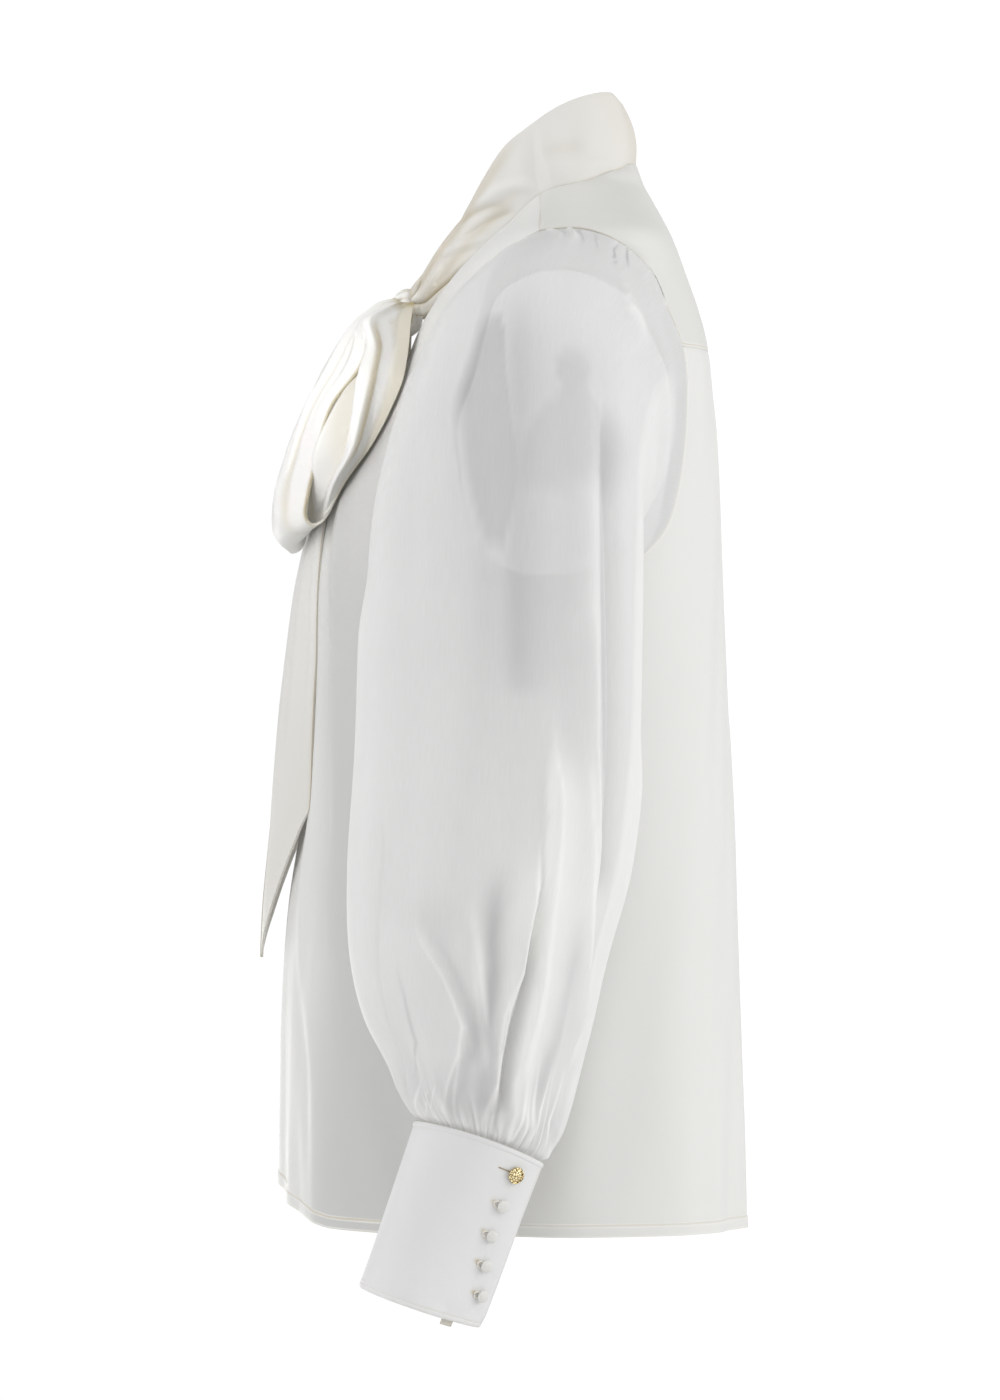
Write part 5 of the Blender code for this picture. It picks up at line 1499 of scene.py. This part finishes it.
def make_panel(node, made):
    """A front or the back, with the stitches of its hem."""
    grid, above, tones = made
    panel = cloth_piece(node, grid, SILK, body_axis, SILK_WALL, folds=tones)
    run = level_run(grid, above, HEM_DEPTH, body_axis, SILK_WALL)
    return panel, ready(stitches(node + "_hem_stitches", [run], *HEM_STITCH), "silk")


def make_body():
    for side in (1, -1):
        front, hem = make_panel(called("front", side), front_grid(side))
    back, hem = make_panel("back", back_grid())
    grid, tones = yoke_grid()
    yoke = cloth_piece("yoke", grid, SHADED_YOKE_SILK, body_axis, SILK_WALL, folds=tones)


def within_neck(points):
    level = 0 * points[..., 0]
    return np.stack([level, level - 0.03, points[..., 2] - 0.02], -1)


def make_neck():
    grid, tones = collar_grid()
    collar = cloth_piece("collar", grid, BAND_SILK, within_neck, TIE_WALL, folds=tones)
    grid, tones = knot_piece()
    knot = cloth_piece("bow_knot", grid, LIT_TIE_SILK, lambda points: KNOT, ring=True, folds=tones)
    for side in (1, -1):
        grid, tones = loop_grid(side)
        loop = cloth_piece(called("bow_loop", side), grid, LIT_TIE_SILK, within_loop(side), TIE_WALL, folds=tones)
        grid, tones = tail_grid(side)
        tail = cloth_piece(called("bow_tail", side), grid, BAND_SILK, body_axis, TIE_WALL, folds=tones)


def make_sleeve(side):
    grid, tones = sleeve_grid(side)
    sleeve = cloth_piece(
        called("sleeve", side), grid, SHEER, within_sleeve(side), slot="sheer_silk", ring=True, folds=tones
    )


def cuff_sewing(side):
    """What is sewn on a cuff: its edge stitches, its buttonhole and the loops for its covered buttons."""
    long_way = np.linspace(-285.0, CUFF_LAST_SEAM, 400)
    down = np.linspace(CUFF_SEAM + 0.0004, CUFF_LENGTH - CUFF_SEAM - 0.0004, 90)
    runs = [cuff_run(side, long_way, np.full(400, drop)) for drop in (CUFF_SEAM, CUFF_LENGTH - CUFF_SEAM)]
    runs.append(cuff_run(side, np.full(90, CUFF_LAST_SEAM), down))
    seams = stitches(called("cuff", side) + "_stitches", runs, *CUFF_STITCH)
    at, drop = BUTTONS[0]
    drop = drop - 0.0006
    opening, _ = cuff_run(side, np.linspace(at - 17.5, at - 4.0, 40), np.full(40, drop))
    # A dark cord along the buttonhole's opening: painted shade inside it.
    shade_cord = tubed(called("buttonhole_shade_cord", side), opening, 0.00035, BUTTONHOLE_SHADE)
    around = np.linspace(0, 2 * math.pi, 90)
    edge = cuff_run(side, at - 10.8 + 7.4 * np.cos(around), drop + 0.0008 * np.sin(around))
    bound = stitches(called("buttonhole_stitches", side), [edge], *BUTTONHOLE_STITCH)
    cords = [tubed(f"loop_{i}_{side}", line, 0.00055, THREAD) for i, line in enumerate(button_loops(side))]
    cords = joined(called("button_loops", side), cords)
    return [ready(piece, "silk") for piece in (seams, shade_cord, bound, cords)]


def cuff_buttons(side):
    """The metal button and the four covered ones."""
    gold, *covered = (button_frame(side, degrees, drop) for degrees, drop in BUTTONS)
    node = called("gold_button", side)
    made = [ready(turned(node + "_metal", gold_profile(), gold, GOLD, 48, petals), "gold_metal", node)]
    for i, frame_of in enumerate(covered, 1):
        node = called(f"covered_button_{i}", side)
        made.append(ready(turned(node + "_cloth", covered_profile(), frame_of, SHADED_BUTTON_SILK, 32), "silk", node))
    return made


def make_cuff(side):
    name = called("cuff", side)
    grid, tones = cuff_grid(side)
    cuff = cloth_piece(name, grid, CUFF_SILK, lambda points: cuff_middle(side, points), CUFF_WALL, folds=tones)
    sewing = cuff_sewing(side)
    top = cuff_axes(side)[0]
    tab = cloth_piece(called("cuff_tab", side), tab_grid(side), TAB_TAPE, lambda points: top, TAB_WALL)
    sewing + cuff_buttons(side)


# ---------------------------------------------------------------- floor, light and camera

FLOOR_PLACE, FLOOR_RADIUS = (0.0, -0.04, -0.8), 0.54
CAMERA_PLACE, CAMERA_LENS, CAMERA_SENSOR = (4.0, -0.0425, -0.313), 169.4, 36.0


def make_stage():
    bpy.ops.object.select_all(action="DESELECT")
    bpy.ops.mesh.primitive_circle_add(vertices=96, radius=FLOOR_RADIUS, fill_type="NGON", location=FLOOR_PLACE)
    floor = bpy.context.active_object
    floor.name = "floor"
    floor.data.materials.append(FLOOR.material)


# Surroundings: a way, the cosines between which their light fades in, and its strength
SURROUNDINGS = (
    ((0.0, 0.0, 1.0), (-1.1, -1.05), 0.41),
    ((-1.0, 0.0, 0.0), (0.975, 0.987), 0.59),
    ((1.0, 0.0, 0.0), (-1.0, 0.9), 0.16),
    ((0.0, 1.0, 0.0), (-0.2, 0.9), 0.66),
    ((0.0, -1.0, 0.0), (0.45, 0.97), 0.66),
    ((0.42, -0.66, 0.62), (0.4, 0.98), 0.56),
)
# Name, place, what it is aimed at, size, watts, spread in degrees, tone
LIGHTS = (
    ("back_softbox", (1.0, 2.4, 0.3), (0.1, 0.0, -0.3), 1.6, 13.0, 180.0, (1.0, 0.995, 0.98)),
    ("rim_softbox", (-2.5, -1.3, -0.9), (0.0, -0.12, -0.4), 1.0, 8.0, 180.0, (1.0, 0.995, 0.98)),
    ("bow_light", (2.3, -1.3, 0.8), (0.08, -0.14, -0.13), 0.16, 0.035, 6.0, (1.0, 0.99, 0.97)),
)


def make_light():
    """Soft surroundings, white behind the part and of its own strength from each side, and the lamps."""
    world = bpy.data.worlds.new("studio")
    bpy.context.scene.world = world
    sky = Finish.of_world(world)
    way = sky.node("ShaderNodeTexCoord", "Generated")
    strength = 0.0
    for axis, narrow, amount in SURROUNDINGS:
        facing = sky.node("ShaderNodeVectorMath", "Value", {"operation": "DOT_PRODUCT"}, {0: way, 1: axis})
        strength = sky.node(
            "ShaderNodeMapRange", "Result", {"interpolation_type": "SMOOTHSTEP"},
            {"Value": facing, 1: narrow[0], 2: narrow[1], 3: 0.0, 4: amount},
        ) + strength
    sky.set(Color=(0.985, 0.99, 1.0, 1.0), Strength=strength)
    for name, spot, aim, size, power, spread_out, tone in LIGHTS:
        light = bpy.data.lights.new(name, "AREA")
        light.shape, light.size, light.energy, light.color = "DISK", size, power, tone
        light.spread = math.radians(spread_out)
        lamp = bpy.data.objects.new(name, light)
        lamp.location = spot
        lamp.rotation_euler = (Vector(spot) - Vector(aim)).to_track_quat("Z", "Y").to_euler()
        bpy.context.scene.collection.objects.link(lamp)


def make_camera():
    """Level, from the wearer's left, far enough off that the far side barely shrinks."""
    lens = bpy.data.cameras.new("camera")
    lens.sensor_fit, lens.sensor_height, lens.lens = "VERTICAL", CAMERA_SENSOR, CAMERA_LENS
    eye = bpy.data.objects.new("camera", lens)
    level = Vector((1.0, 0.0, 0.0)).to_track_quat("Z", "Y").to_matrix().to_4x4()
    eye.matrix_world = Matrix.Translation(CAMERA_PLACE) @ level
    bpy.context.scene.collection.objects.link(eye)
    bpy.context.scene.camera = eye


bpy.context.scene.view_settings.view_transform = "Standard"
make_camera()
make_light()
make_stage()
make_body()
for SIDE in (1, -1):
    make_cuff(SIDE)
    make_sleeve(SIDE)
make_neck()
